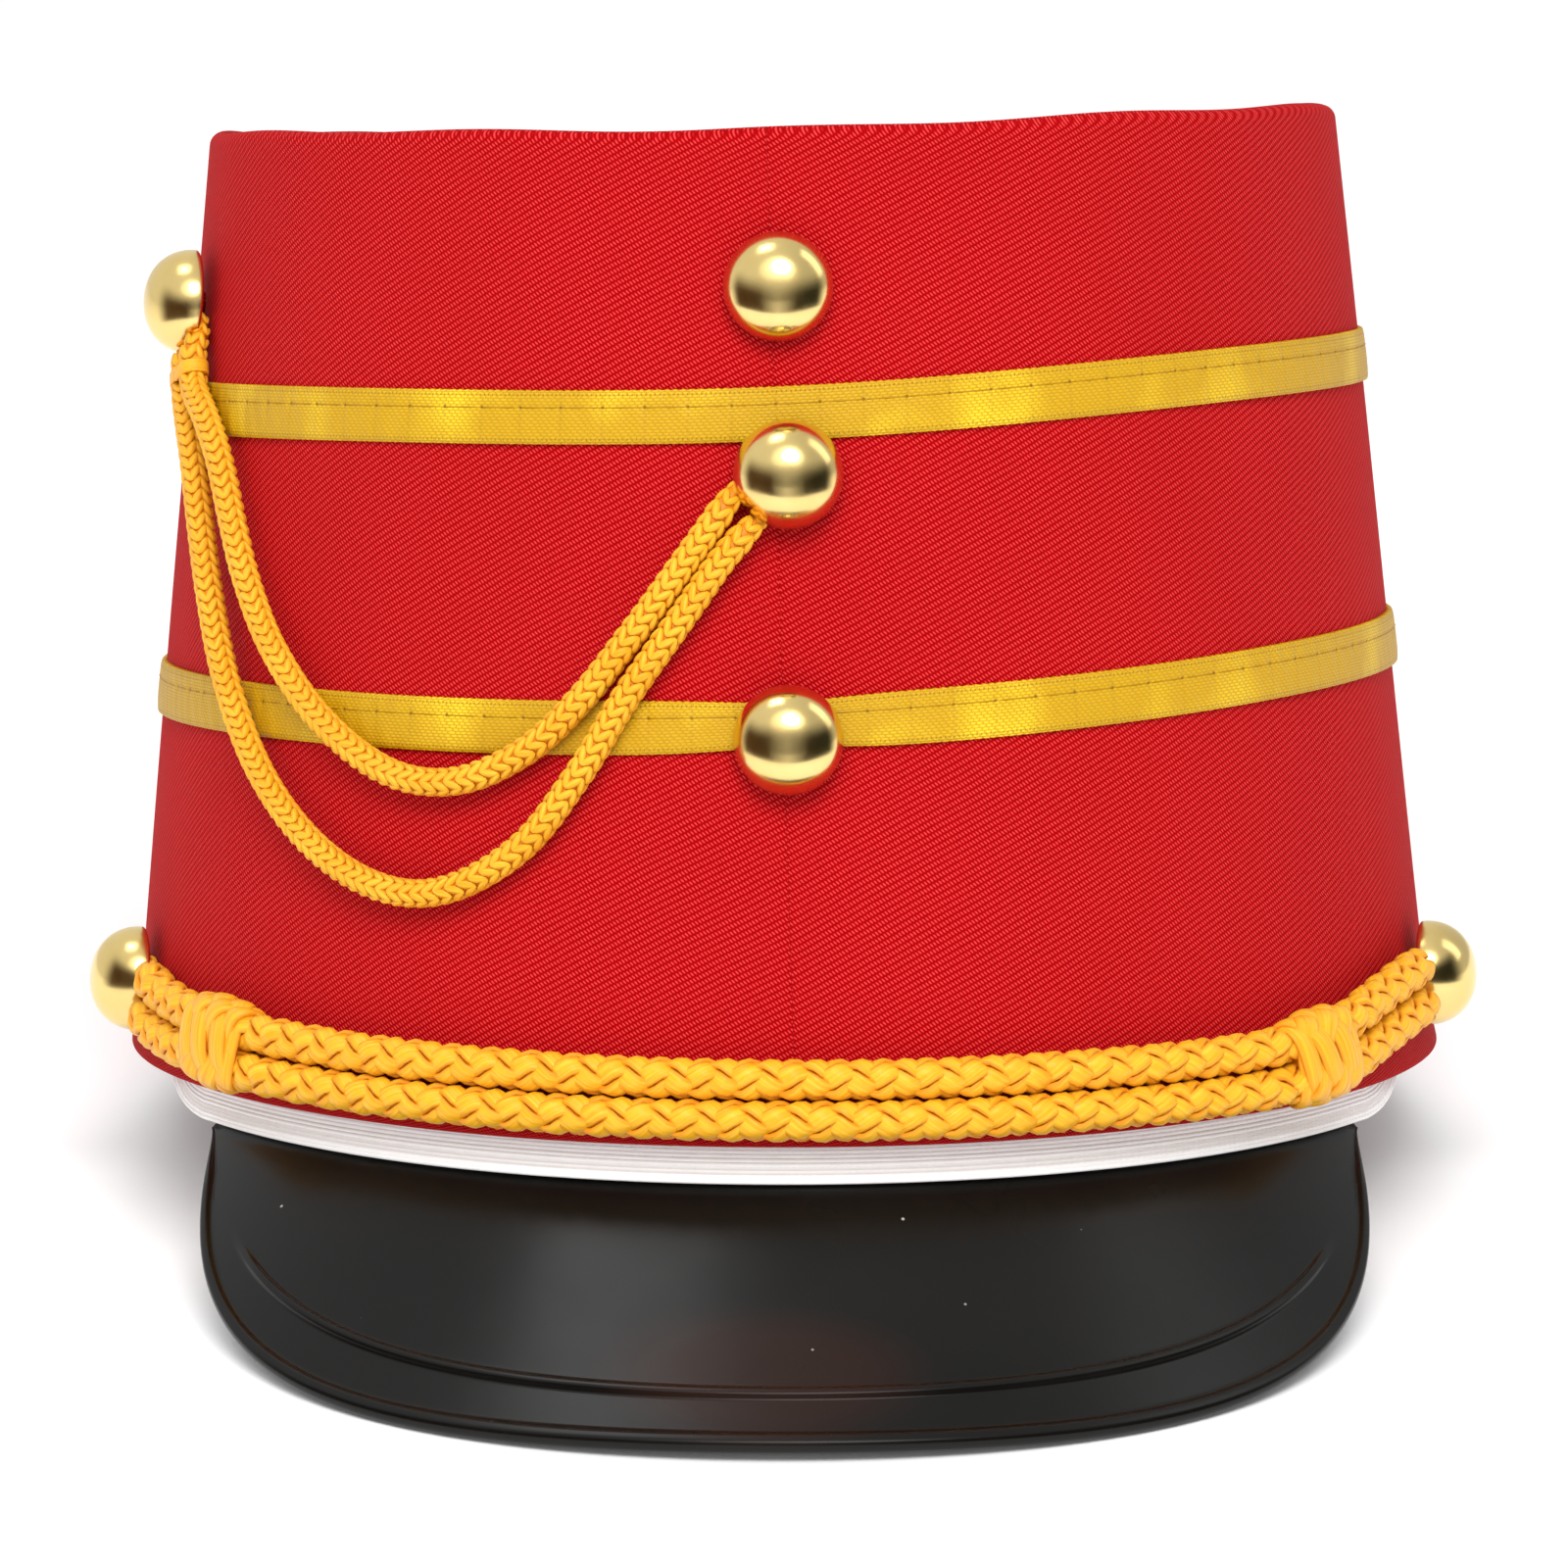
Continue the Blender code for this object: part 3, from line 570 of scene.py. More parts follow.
def close_tree(tree, parts, material, leave):
    """Join what a tree has made, make it real and give it its material."""
    whole = add_node(tree, "GeometryNodeJoinGeometry")
    for part in parts:
        tree.links.new(part.outputs[0], whole.inputs[0])
    smooth = add_node(tree, "GeometryNodeSetShadeSmooth", {"Geometry": whole})
    real = add_node(tree, "GeometryNodeRealizeInstances", {"Geometry": smooth})
    links = {"Geometry": real, "Material": material}
    dressed = add_node(tree, "GeometryNodeSetMaterial", links)
    tree.links.new(dressed.outputs[0], leave.inputs[0])


def wound_strands_tree():
    """Flat strands wound round a line both ways, each over and under the ones it meets.

    With one strand and no turns it is a plain strand along the line, and with a spread the
    strands lie side by side as a ribbed band.
    """
    inputs = (
        ("Strands", "Int"), ("Turns per Metre", "Float"), ("Start Angle", "Float"),
        ("Winding Radius", "Float"), ("Weave Depth", "Float"), ("Spread", "Float"),
        ("Strand Width", "Float"), ("Strand Thickness", "Float"), ("Core Radius", "Float"),
        ("Material", "Material"),
    )
    tree, entry, leave = new_tree("wound_strands", inputs)
    strands = entry["Strands"]
    line = add_node(tree, "GeometryNodeMeshToCurve", {"Mesh": entry["Geometry"]})
    links = {"Geometry": line, "Amount": strands}
    copies = add_node(tree, "GeometryNodeDuplicateElements", links, domain="SPLINE")
    index = copies.outputs["Duplicate Index"]
    sign = one_way_and_the_other(tree, index)
    half = add_node(tree, MATH, {0: strands, 1: 0.5}, operation="MULTIPLY")
    lanes = add_node(tree, MATH, {0: half, 1: 1.0}, operation="MAXIMUM")
    pair = add_node(tree, MATH, {0: index, 1: 0.5}, operation="MULTIPLY")
    lane = add_node(tree, MATH, {0: pair}, operation="FLOOR")
    step = add_node(tree, MATH, {0: math.tau, 1: lanes}, operation="DIVIDE")
    start = add_node(
        tree, MATH, {0: lane, 1: step, 2: entry["Start Angle"]}, operation="MULTIPLY_ADD"
    )
    run = add_node(tree, NAMED, {"Name": "run"}, data_type="FLOAT")
    turns = add_node(tree, MATH, {0: run, 1: entry["Turns per Metre"]}, operation="MULTIPLY")
    phase = add_node(tree, MATH, {0: turns, 1: math.tau}, operation="MULTIPLY")
    angle = add_node(tree, MATH, {0: phase, 1: sign, 2: start}, operation="MULTIPLY_ADD")
    crossings = add_node(tree, MATH, {0: phase, 1: lanes}, operation="MULTIPLY")
    swing = add_node(tree, MATH, {0: crossings}, operation="COSINE")
    wave = add_node(tree, MATH, {0: swing, 1: sign}, operation="MULTIPLY")
    links = {0: wave, 1: entry["Weave Depth"], 2: entry["Winding Radius"]}
    woven = add_node(tree, MATH, links, operation="MULTIPLY_ADD")
    share = add_node(tree, NAMED, {"Name": "share"}, data_type="FLOAT")
    radius = add_node(tree, MATH, {0: woven, 1: share}, operation="MULTIPLY")
    outward, _ = ways_round(tree, angle)
    wound = add_node(tree, VECTOR_MATH, {0: outward, "Scale": radius}, operation="SCALE")
    middle = add_node(tree, MATH, {0: strands, 1: -0.5, 2: 0.5}, operation="MULTIPLY_ADD")
    place = add_node(tree, MATH, {0: index, 1: middle}, operation="ADD")
    beside = add_node(tree, MATH, {0: place, 1: entry["Spread"]}, operation="MULTIPLY")
    side = add_node(tree, NAMED, {"Name": "side"}, data_type="FLOAT_VECTOR")
    spread = add_node(tree, VECTOR_MATH, {0: side, "Scale": beside}, operation="SCALE")
    offset = add_node(tree, VECTOR_MATH, {0: wound, 1: spread}, operation="ADD")
    wound_share = add_node(tree, MATH, {0: entry["Turns per Metre"], 1: 1.0}, operation="MINIMUM")
    dip = add_node(tree, MATH, {0: wave, 1: wound_share}, operation="MULTIPLY")
    links = {"Geometry": copies, "Name": "depth", "Value": dip}
    marked = add_node(tree, STORE, links, domain="POINT")
    links = {"Geometry": marked, "Name": "strand", "Value": index}
    numbered = add_node(tree, STORE, links, domain="POINT")
    links = {"Curve": numbered, "Normal": outward}
    faced = add_node(tree, "GeometryNodeSetCurveNormal", links, mode="FREE")
    placed = add_node(tree, "GeometryNodeSetPosition", {"Geometry": faced, "Offset": offset})
    links = {"Resolution": 12, "Radius": 0.5}
    circle = add_node(tree, "GeometryNodeCurvePrimitiveCircle", links)
    parts = add_node(tree, SEPARATE, {0: add_node(tree, "GeometryNodeInputPosition")})
    links = {"Geometry": circle, "Name": "across", "Value": parts.outputs["Y"]}
    profile = add_node(tree, STORE, links, domain="POINT")
    links = {"X": entry["Strand Thickness"], "Y": entry["Strand Width"], "Z": 1.0}
    size = add_node(tree, COMBINE, links)
    oval = add_node(tree, "GeometryNodeTransform", {"Geometry": profile, "Scale": size})
    links = {"Curve": placed, "Profile Curve": oval, "Scale": share, "Fill Caps": True}
    swept = add_node(tree, "GeometryNodeCurveToMesh", links)
    close_tree(tree, (core_of(tree, entry), swept), entry["Material"], leave)
    return tree


def laid_stitches_tree():
    """Small grain-shaped stitches at each point of a line, round a core."""
    inputs = (
        ("Stitches Around", "Int"), ("Lean", "Float"), ("Cord Radius", "Float"),
        ("Core Radius", "Float"), ("Stitch Length", "Float"), ("Stitch Width", "Float"),
        ("Stitch Depth", "Float"), ("Material", "Material"),
    )
    tree, entry, leave = new_tree("laid_stitches", inputs)
    links = {"Geometry": entry["Geometry"], "Amount": entry["Stitches Around"]}
    copies = add_node(tree, "GeometryNodeDuplicateElements", links, domain="POINT")
    index = copies.outputs["Duplicate Index"]
    sign = one_way_and_the_other(tree, index)
    step = add_node(tree, MATH, {0: math.tau, 1: entry["Stitches Around"]}, operation="DIVIDE")
    place = add_node(tree, MATH, {0: index, 1: -0.5}, operation="ADD")
    angle = add_node(tree, MATH, {0: place, 1: step}, operation="MULTIPLY")
    outward, turning = ways_round(tree, angle)
    share = add_node(tree, NAMED, {"Name": "share"}, data_type="FLOAT")
    radius = add_node(tree, MATH, {0: entry["Cord Radius"], 1: share}, operation="MULTIPLY")
    offset = add_node(tree, VECTOR_MATH, {0: outward, "Scale": radius}, operation="SCALE")
    placed = add_node(tree, "GeometryNodeSetPosition", {"Geometry": copies, "Offset": offset})
    cosine = add_node(tree, MATH, {0: entry["Lean"]}, operation="COSINE")
    sine = add_node(tree, MATH, {0: entry["Lean"]}, operation="SINE")
    sideways = add_node(tree, MATH, {0: sine, 1: sign}, operation="MULTIPLY")
    along = add_node(tree, NAMED, {"Name": "along"}, data_type="FLOAT_VECTOR")
    forward = add_node(tree, VECTOR_MATH, {0: along, "Scale": cosine}, operation="SCALE")
    leaning = add_node(tree, VECTOR_MATH, {0: turning, "Scale": sideways}, operation="SCALE")
    pointing = add_node(tree, VECTOR_MATH, {0: forward, 1: leaning}, operation="ADD")
    links = {"Primary Axis": pointing, "Secondary Axis": outward}
    facing = add_node(
        tree, "FunctionNodeAxesToRotation", links, primary_axis="Z", secondary_axis="X"
    )
    grain = add_node(tree, "GeometryNodeMeshUVSphere", {"Segments": 6, "Rings": 6, "Radius": 0.5})
    height = add_node(tree, SEPARATE, {0: add_node(tree, "GeometryNodeInputPosition")})
    links = {"Geometry": grain, "Name": "across", "Value": height.outputs["Y"]}
    marked = add_node(tree, STORE, links, domain="POINT")
    links = {"X": entry["Stitch Depth"], "Y": entry["Stitch Width"], "Z": entry["Stitch Length"]}
    size = add_node(tree, COMBINE, links)
    thinned = add_node(tree, VECTOR_MATH, {0: size, "Scale": share}, operation="SCALE")
    links = {"Points": placed, "Instance": marked, "Rotation": facing, "Scale": thinned}
    stitches = add_node(tree, "GeometryNodeInstanceOnPoints", links)
    close_tree(tree, (core_of(tree, entry), stitches), entry["Material"], leave)
    return tree


def grown_mesh(name, guide, tree, values):
    """Run a node tree on a guide line and keep what it makes as a plain mesh."""
    thing = bpy.data.objects.new(name + "_guide", guide)
    modifier = thing.modifiers.new("tree", "NODES")
    modifier.node_group = tree
    for socket in tree.interface.items_tree:
        if socket.in_out == "INPUT" and socket.name in values:
            modifier[socket.identifier] = values[socket.name]
    bpy.context.scene.collection.objects.link(thing)
    graph = bpy.context.evaluated_depsgraph_get()
    mesh = bpy.data.meshes.new_from_object(
        thing.evaluated_get(graph), preserve_all_data_layers=True, depsgraph=graph
    )
    mesh.name = name
    thing.modifiers.remove(modifier)
    bpy.data.objects.remove(thing)
    return mesh


def new_material(name, **constants):
    """A material with only its Principled shader, whose plain sockets are set by name."""
    material = bpy.data.materials.new(name)
    material.use_nodes = True
    shader = material.node_tree.nodes["Principled BSDF"]
    for label, value in constants.items():
        shader.inputs[label.replace("_", " ")].default_value = value
    return material, material.node_tree, shader


def dress(tree, shader, colour, height, distance, strength=1.0):
    """Give the shader its colour and its relief. The distance is the relief's real height."""
    tree.links.new(colour.outputs[2], shader.inputs["Base Color"])
    links = {"Height": height, "Distance": distance, "Strength": strength}
    bump = add_node(tree, "ShaderNodeBump", links)
    tree.links.new(bump.outputs[0], shader.inputs["Normal"])


def opaque(colour):
    """A colour with its alpha, as a socket takes it."""
    return (*colour, 1.0)


def round_humps(tree, value):
    """A row of even round humps, one for each whole number that a value passes."""
    turn = add_node(tree, MATH, {0: value, 1: math.pi}, operation="MULTIPLY")
    swell = add_node(tree, MATH, {0: turn}, operation="SINE")
    return add_node(tree, MATH, {0: swell}, operation="ABSOLUTE")


def strand_edge(tree, across, sharpness):
    """Nothing along a strand's middle, rising to one at its two edges."""
    off_middle = add_node(tree, MATH, {0: across}, operation="ABSOLUTE")
    doubled = add_node(tree, MATH, {0: off_middle, 1: 2.0}, operation="MULTIPLY")
    return add_node(tree, MATH, {0: doubled, 1: sharpness}, operation="POWER")


# Polyester twill, a steep weave stretched over board. Its wales are rows of small beads of thread,
# lighter on top, with painted shade in the deep red grooves between them, and painted highlights
# give single bright specks on its fibres. A noise's scale is one over the real size of what it
# draws: the wales wander over 22 mm, tufts of fibre are 0.7 mm, coarser than real so that they
# show, and darker patches are 40 mm.
def red_twill(settings):
    material, tree, shader = new_material(
        "polyester_twill_red", Roughness=0.75, Specular_IOR_Level=0.06, Sheen_Weight=0.02,
        Sheen_Tint=opaque(linear("FF5048")),
    )
    lie = add_node(tree, "ShaderNodeUVMap", uv_map="weave")
    parts = add_node(tree, SEPARATE, {0: lie})
    drift = add_node(tree, NOISE, {"Vector": lie, "Scale": 45.0, "Detail": 2.0})
    fibres = add_node(tree, NOISE, {"Vector": lie, "Scale": 1400.0, "Detail": 2.0})
    patches = add_node(tree, NOISE, {"Vector": lie, "Scale": 25.0, "Detail": 2.0})
    shift = add_node(tree, MATH, {0: drift, 1: 0.9}, operation="MULTIPLY")
    links = {0: parts.outputs["Y"], 1: 1.0 / settings.twill_pitch, 2: shift}
    wale = add_node(tree, MATH, links, operation="MULTIPLY_ADD")
    ridge = add_node(tree, MATH, {0: round_humps(tree, wale), 1: 0.5}, operation="POWER")
    lane = add_node(tree, MATH, {0: wale}, operation="FLOOR")
    slip = add_node(tree, MATH, {0: lane, 1: 0.37}, operation="MULTIPLY")
    slant = add_node(tree, MATH, {0: wale, 1: 0.5, 2: slip}, operation="MULTIPLY_ADD")
    links = {0: parts.outputs["X"], 1: 1.0 / settings.thread_pitch, 2: slant}
    bead = add_node(tree, MATH, links, operation="MULTIPLY_ADD")
    links = {0: round_humps(tree, bead), 1: 1.1, 2: 0.08}
    depth = add_node(tree, MATH, links, operation="MULTIPLY_ADD")
    beads = add_node(tree, MATH, {0: ridge, 1: depth}, operation="MULTIPLY")
    relief = add_node(tree, MATH, {0: fibres, 1: 0.3, 2: beads}, operation="MULTIPLY_ADD")
    # Painted shade: the colour darkens from the tops of the wales down into the grooves between
    # them.
    light = add_node(tree, RANGE, {"Value": relief, "From Min": 0.2, "From Max": 1.0})
    links = {0: light, 6: opaque(settings.groove_shade_and_patch_colour), 7: opaque(settings.twill_colour)}
    colour = add_node(tree, MIX, links, data_type="RGBA")
    # Painted highlights: the highest fibres turn bright.
    links = {"Value": relief, "From Min": 0.98, "From Max": 1.16, "To Max": 0.7}
    speck = add_node(tree, RANGE, links)
    links = {0: speck, 6: colour, 7: opaque(settings.painted_fibre_highlight_colour)}
    with_painted_fibre_highlights = add_node(tree, MIX, links, data_type="RGBA")
    links = {"Value": patches, "From Min": 0.3, "From Max": 0.75, "To Max": 0.14}
    worn = add_node(tree, RANGE, links)
    links = {0: worn, 6: with_painted_fibre_highlights, 7: opaque(settings.groove_shade_and_patch_colour)}
    shaded = add_node(tree, MIX, links, data_type="RGBA")
    dress(tree, shader, shaded, relief, settings.twill_pitch * 0.2, 0.8)
    return material


# Polyester satin ribbon. Its long floats lie along it in short lighter dashes with painted shade
# between them, and fine dark dots show at its selvedges and at the needle's holes, with a faint
# painted shade of a crease across it at each stitch. Painted glints brighten the floats in random
# places about 18 mm long. The floats are drawn coarser than real so that they show.
def yellow_satin(settings):
    material, tree, shader = new_material(
        "polyester_satin_yellow", Roughness=0.42, Specular_IOR_Level=0.3, Anisotropic=0.6,
    )
    lie = add_node(tree, "ShaderNodeUVMap", uv_map="weave")
    parts = add_node(tree, SEPARATE, {0: lie})
    along = parts.outputs["X"]
    up = parts.outputs["Y"]
    drift = add_node(tree, NOISE, {"Vector": lie, "Scale": 500.0, "Detail": 2.0})
    links = {0: up, 1: 1.0 / settings.float_height, 2: 50.0}
    row = add_node(tree, MATH, links, operation="MULTIPLY_ADD")
    row_number = add_node(tree, MATH, {0: row}, operation="FLOOR")
    slip = add_node(tree, MATH, {0: row_number, 1: 0.4, 2: drift}, operation="MULTIPLY_ADD")
    links = {0: along, 1: 1.0 / settings.float_length, 2: slip}
    place = add_node(tree, MATH, links, operation="MULTIPLY_ADD")
    links = {0: round_humps(tree, row), 1: round_humps(tree, place)}
    product = add_node(tree, MATH, links, operation="MULTIPLY")
    dash = add_node(tree, MATH, {0: product, 1: 0.6}, operation="POWER")
    # Painted shade between the floats, and painted glints in random patches where the floats are
    # brighter.
    patch = add_node(tree, NOISE, {"Vector": lie, "Scale": 55.0, "Detail": 2.0})
    links = {0: dash, 6: opaque(settings.shade_colour), 7: opaque(settings.satin_colour)}
    weave = add_node(tree, MIX, links, data_type="RGBA")
    links = {"Value": patch, "From Min": 0.5, "From Max": 0.7}
    glint = add_node(tree, RANGE, links)
    bright = add_node(tree, MATH, {0: glint, 1: dash}, operation="MULTIPLY")
    links = {0: bright, 6: weave, 7: opaque(settings.painted_glint_colour)}
    lit = add_node(tree, MIX, links, data_type="RGBA")
    from_middle = add_node(tree, MATH, {0: up}, operation="ABSOLUTE")
    links = {0: from_middle, 1: RIBBON_WIDTH / 2.0 - SELVEDGE_INSET}
    from_edge = add_node(tree, MATH, links, operation="SUBTRACT")
    off_line = add_node(tree, MATH, {0: from_edge}, operation="ABSOLUTE")
    links = {
        "Value": off_line, "From Min": 0.00008, "From Max": 0.0002, "To Min": 1.0, "To Max": 0.0,
    }
    on_line = add_node(tree, RANGE, links)
    links = {0: along, 1: math.tau / SELVEDGE_PITCH}
    dot_turn = add_node(tree, MATH, links, operation="MULTIPLY")
    dot_wave = add_node(tree, MATH, {0: dot_turn}, operation="SINE")
    dot = add_node(tree, RANGE, {"Value": dot_wave, "From Min": 0.3, "From Max": 0.9})
    selvedge = add_node(tree, MATH, {0: on_line, 1: dot}, operation="MULTIPLY")
    stitch = add_node(tree, MATH, {0: along, 1: 1.0 / settings.stitch_pitch}, operation="MULTIPLY")
    nearest = add_node(tree, MATH, {0: stitch}, operation="ROUND")
    part = add_node(tree, MATH, {0: stitch, 1: nearest}, operation="SUBTRACT")
    aside = add_node(tree, MATH, {0: part, 1: settings.stitch_pitch}, operation="MULTIPLY")
    level = RIBBON_WIDTH / 2.0 - settings.stitch_drop
    above = add_node(tree, MATH, {0: up, 1: level}, operation="SUBTRACT")
    away = add_node(tree, COMBINE, {"X": aside, "Y": above})
    reach = add_node(tree, VECTOR_MATH, {0: away}, operation="LENGTH").outputs["Value"]
    links = {"Value": reach, "From Min": 0.0001, "From Max": 0.00028, "To Min": 1.0, "To Max": 0.0}
    hole = add_node(tree, RANGE, links)
    # Painted shade: a faint dark crease across the ribbon at each stitch, in the holes' colour.
    off_crease = add_node(tree, MATH, {0: aside}, operation="ABSOLUTE")
    links = {
        "Value": off_crease, "From Min": 0.00005, "From Max": 0.0003, "To Min": 0.12, "To Max": 0.0,
    }
    crease = add_node(tree, RANGE, links)
    dots = add_node(tree, MATH, {0: selvedge, 1: 0.6}, operation="MULTIPLY")
    marks = add_node(tree, MATH, {0: dots, 1: hole}, operation="MAXIMUM")
    dark = add_node(tree, MATH, {0: marks, 1: crease}, operation="MAXIMUM")
    links = {0: dark, 6: lit, 7: opaque(settings.hole_and_crease_shade_colour)}
    colour = add_node(tree, MIX, links, data_type="RGBA")
    height = add_node(tree, MATH, {0: dark, 1: -1.5, 2: dash}, operation="MULTIPLY_ADD")
    dress(tree, shader, colour, height, 0.00008, 0.7)
    return material


# Bright filament thread laid without twist, braided or knitted. Painted highlights streak along
# each strand for about 6 mm, and painted shade turns it deep orange along each strand's edges and
# where it dips between its neighbours. The fibres and their grain of 1.1 mm are coarser than real
# so that they show.
def gold_thread(name, settings, fibres_across):
    material, tree, shader = new_material(
        name, Roughness=0.4, Specular_IOR_Level=0.3, Sheen_Weight=0.04,
        Sheen_Tint=opaque(linear("FFE9A8")),
    )
    depth, across, run, strand = (
        add_node(tree, "ShaderNodeAttribute", attribute_name=label).outputs["Fac"]
        for label in ("depth", "across", "run", "strand")
    )
    place = add_node(tree, "ShaderNodeTexCoord").outputs["Object"]
    streak_x = add_node(tree, MATH, {0: across, 1: fibres_across}, operation="MULTIPLY")
    streak_y = add_node(tree, MATH, {0: run, 1: 160.0}, operation="MULTIPLY")
    streak_z = add_node(tree, MATH, {0: strand, 1: 7.3}, operation="MULTIPLY")
    fibre = add_node(tree, COMBINE, {"X": streak_x, "Y": streak_y, "Z": streak_z})
    streaks = add_node(tree, NOISE, {"Vector": fibre, "Scale": 1.0, "Detail": 3.0})
    grain = add_node(tree, NOISE, {"Vector": place, "Scale": 900.0, "Detail": 2.0})
    # Painted shade: deep orange along each strand's edges and where it dips under its neighbours.
    edge = strand_edge(tree, across, 5.0)
    edged = add_node(tree, MATH, {0: edge, 1: 0.6}, operation="MULTIPLY")
    links = {"Value": depth, "From Min": -1.3, "From Max": 0.1, "To Min": 1.0, "To Max": 0.0}
    low = add_node(tree, RANGE, links)
    painted_shade_share = add_node(tree, MATH, {0: low, 1: edged}, operation="MAXIMUM")
    # Painted highlights streak along the fibres.
    light = add_node(tree, RANGE, {"Value": streaks, "From Min": 0.35, "From Max": 0.68})
    links = {0: light, 6: opaque(settings.cord_colour), 7: opaque(settings.cord_painted_highlight)}
    painted_highlight_streaks = add_node(tree, MIX, links, data_type="RGBA")
    links = {0: painted_shade_share, 6: painted_highlight_streaks, 7: opaque(settings.cord_painted_shade)}
    colour = add_node(tree, MIX, links, data_type="RGBA")
    height = add_node(tree, MATH, {0: streaks, 1: grain}, operation="ADD")
    dress(tree, shader, colour, height, 0.0002, 0.4)
    return material


# Knitted polyester over rubber: a soft white ribbed tape with a dull finish and fuzz of 0.7 mm,
# coarser than real so that it shows. Painted shade darkens the valleys between its ribs.
def white_elastic(settings):
    material, tree, shader = new_material(
        "knitted_elastic_white", Roughness=0.85, Specular_IOR_Level=0.2, Sheen_Weight=0.1,
    )
    place = add_node(tree, "ShaderNodeTexCoord").outputs["Object"]
    across, run = (
        add_node(tree, "ShaderNodeAttribute", attribute_name=label).outputs["Fac"]
        for label in ("across", "run")
    )
    links = {0: run, 1: math.tau / settings.knit_pitch}
    knit_turn = add_node(tree, MATH, links, operation="MULTIPLY")
    knit = add_node(tree, MATH, {0: knit_turn}, operation="SINE")
    fuzz = add_node(tree, NOISE, {"Vector": place, "Scale": 1500.0, "Detail": 2.0})
    # Painted shade: the valleys between the ribs are darker.
    valley = strand_edge(tree, across, 4.0)
    links = {0: valley, 6: opaque(settings.elastic_colour), 7: opaque(settings.elastic_painted_shade)}
    colour = add_node(tree, MIX, links, data_type="RGBA")
    height = add_node(tree, MATH, {0: knit, 1: 0.5, 2: fuzz}, operation="MULTIPLY_ADD")
    dress(tree, shader, colour, height, 0.0001, 0.5)
    return material


# Injection-moulded black plastic: a smooth soft gloss, with a few dust specks of 0.4 mm and faint
# flow marks of 33 mm. Low at its front a soft brown painted reflection is laid into its colour.
def black_plastic(settings):
    material, tree, shader = new_material(
        "moulded_plastic_black", IOR=1.5, Specular_IOR_Level=0.22
    )
    place = add_node(tree, "ShaderNodeTexCoord").outputs["Object"]
    specks = add_node(tree, "ShaderNodeTexVoronoi", {"Vector": place, "Scale": 260.0})
    chance = add_node(tree, "ShaderNodeSeparateColor", {0: specks.outputs["Color"]})
    rare = add_node(tree, RANGE, {"Value": chance, "From Min": 0.93, "From Max": 0.96})
    links = {"Value": specks, "From Min": 0.03, "From Max": 0.07, "To Min": 1.0, "To Max": 0.0}
    small = add_node(tree, RANGE, links)
    dust = add_node(tree, MATH, {0: rare, 1: small}, operation="MULTIPLY")
    haze = add_node(tree, NOISE, {"Vector": place, "Scale": 30.0, "Detail": 3.0})
    links = {0: haze, 6: opaque(settings.plastic_colour), 7: opaque(settings.plastic_light)}
    clouded = add_node(tree, MIX, links, data_type="RGBA")
    # Painted reflection: a soft brown patch low on the peak's front, blended into the colour.
    from_painted_reflection = add_node(tree, VECTOR_MATH, {0: place, 1: PAINTED_REFLECTION_PLACE}, operation="SUBTRACT")
    links = {0: from_painted_reflection, 1: (1.0 / PAINTED_REFLECTION_WIDTH, 0.0, 1.0 / PAINTED_REFLECTION_HEIGHT)}
    squeezed = add_node(tree, VECTOR_MATH, links, operation="MULTIPLY")
    reach = add_node(tree, VECTOR_MATH, {0: squeezed}, operation="LENGTH").outputs["Value"]
    links = {"Value": reach, "From Min": 0.5, "From Max": 1.1, "To Min": 0.5, "To Max": 0.0}
    glow = add_node(tree, RANGE, links, interpolation_type="SMOOTHSTEP")
    links = {0: glow, 6: clouded, 7: opaque(settings.painted_reflection_brown)}
    with_painted_reflection = add_node(tree, MIX, links, data_type="RGBA")
    links = {0: dust, 6: with_painted_reflection, 7: opaque(settings.dust_colour)}
    colour = add_node(tree, MIX, links, data_type="RGBA")
    links = {"Value": haze, "From Min": 0.3, "From Max": 0.7, "To Min": 0.20, "To Max": 0.30}
    gloss = add_node(tree, RANGE, links)
    rough = add_node(tree, MATH, {0: gloss, 1: dust}, operation="MAXIMUM")
    tree.links.new(rough.outputs[0], shader.inputs["Roughness"])
    dress(tree, shader, colour, haze, 0.0008, 0.2)
    return material


# Stamped brass, plated a pale bright gilt and lacquered: a mirror with a slight haze in patches of
# 4.5 mm and dints of 11 mm.
def gilt(settings):
    material, tree, shader = new_material("gilt_brass_polished", Metallic=1.0)
    place = add_node(tree, "ShaderNodeTexCoord").outputs["Object"]
    haze = add_node(tree, NOISE, {"Vector": place, "Scale": 220.0, "Detail": 4.0})
    dints = add_node(tree, NOISE, {"Vector": place, "Scale": 90.0, "Detail": 1.0})
    links = {0: haze, 6: opaque(settings.gilt_colour), 7: opaque(settings.gilt_shade)}
    colour = add_node(tree, MIX, links, data_type="RGBA")
    links = {"Value": haze, "From Min": 0.35, "From Max": 0.65, "To Min": 0.17, "To Max": 0.23}
    rough = add_node(tree, RANGE, links)
    tree.links.new(rough.outputs[0], shader.inputs["Roughness"])
    dress(tree, shader, colour, dints, 0.0003, 0.15)
    return material


# The studio's floor: matt white paper.
def studio_paper(settings):
    material, tree, shader = new_material(
        "studio_paper_white", Roughness=1.0, Specular_IOR_Level=0.0,
        Emission_Color=(1.0, 1.0, 1.0, 1.0), Emission_Strength=0.06,
    )
    place = add_node(tree, "ShaderNodeTexCoord").outputs["Object"]
    tone = add_node(tree, NOISE, {"Vector": place, "Scale": 3.0, "Detail": 2.0})
    links = {0: tone, 6: opaque(settings.floor_colour), 7: opaque(linear("FDFDFD"))}
    colour = add_node(tree, MIX, links, data_type="RGBA")
    dress(tree, shader, colour, tone, 0.0001, 0.1)
    return material


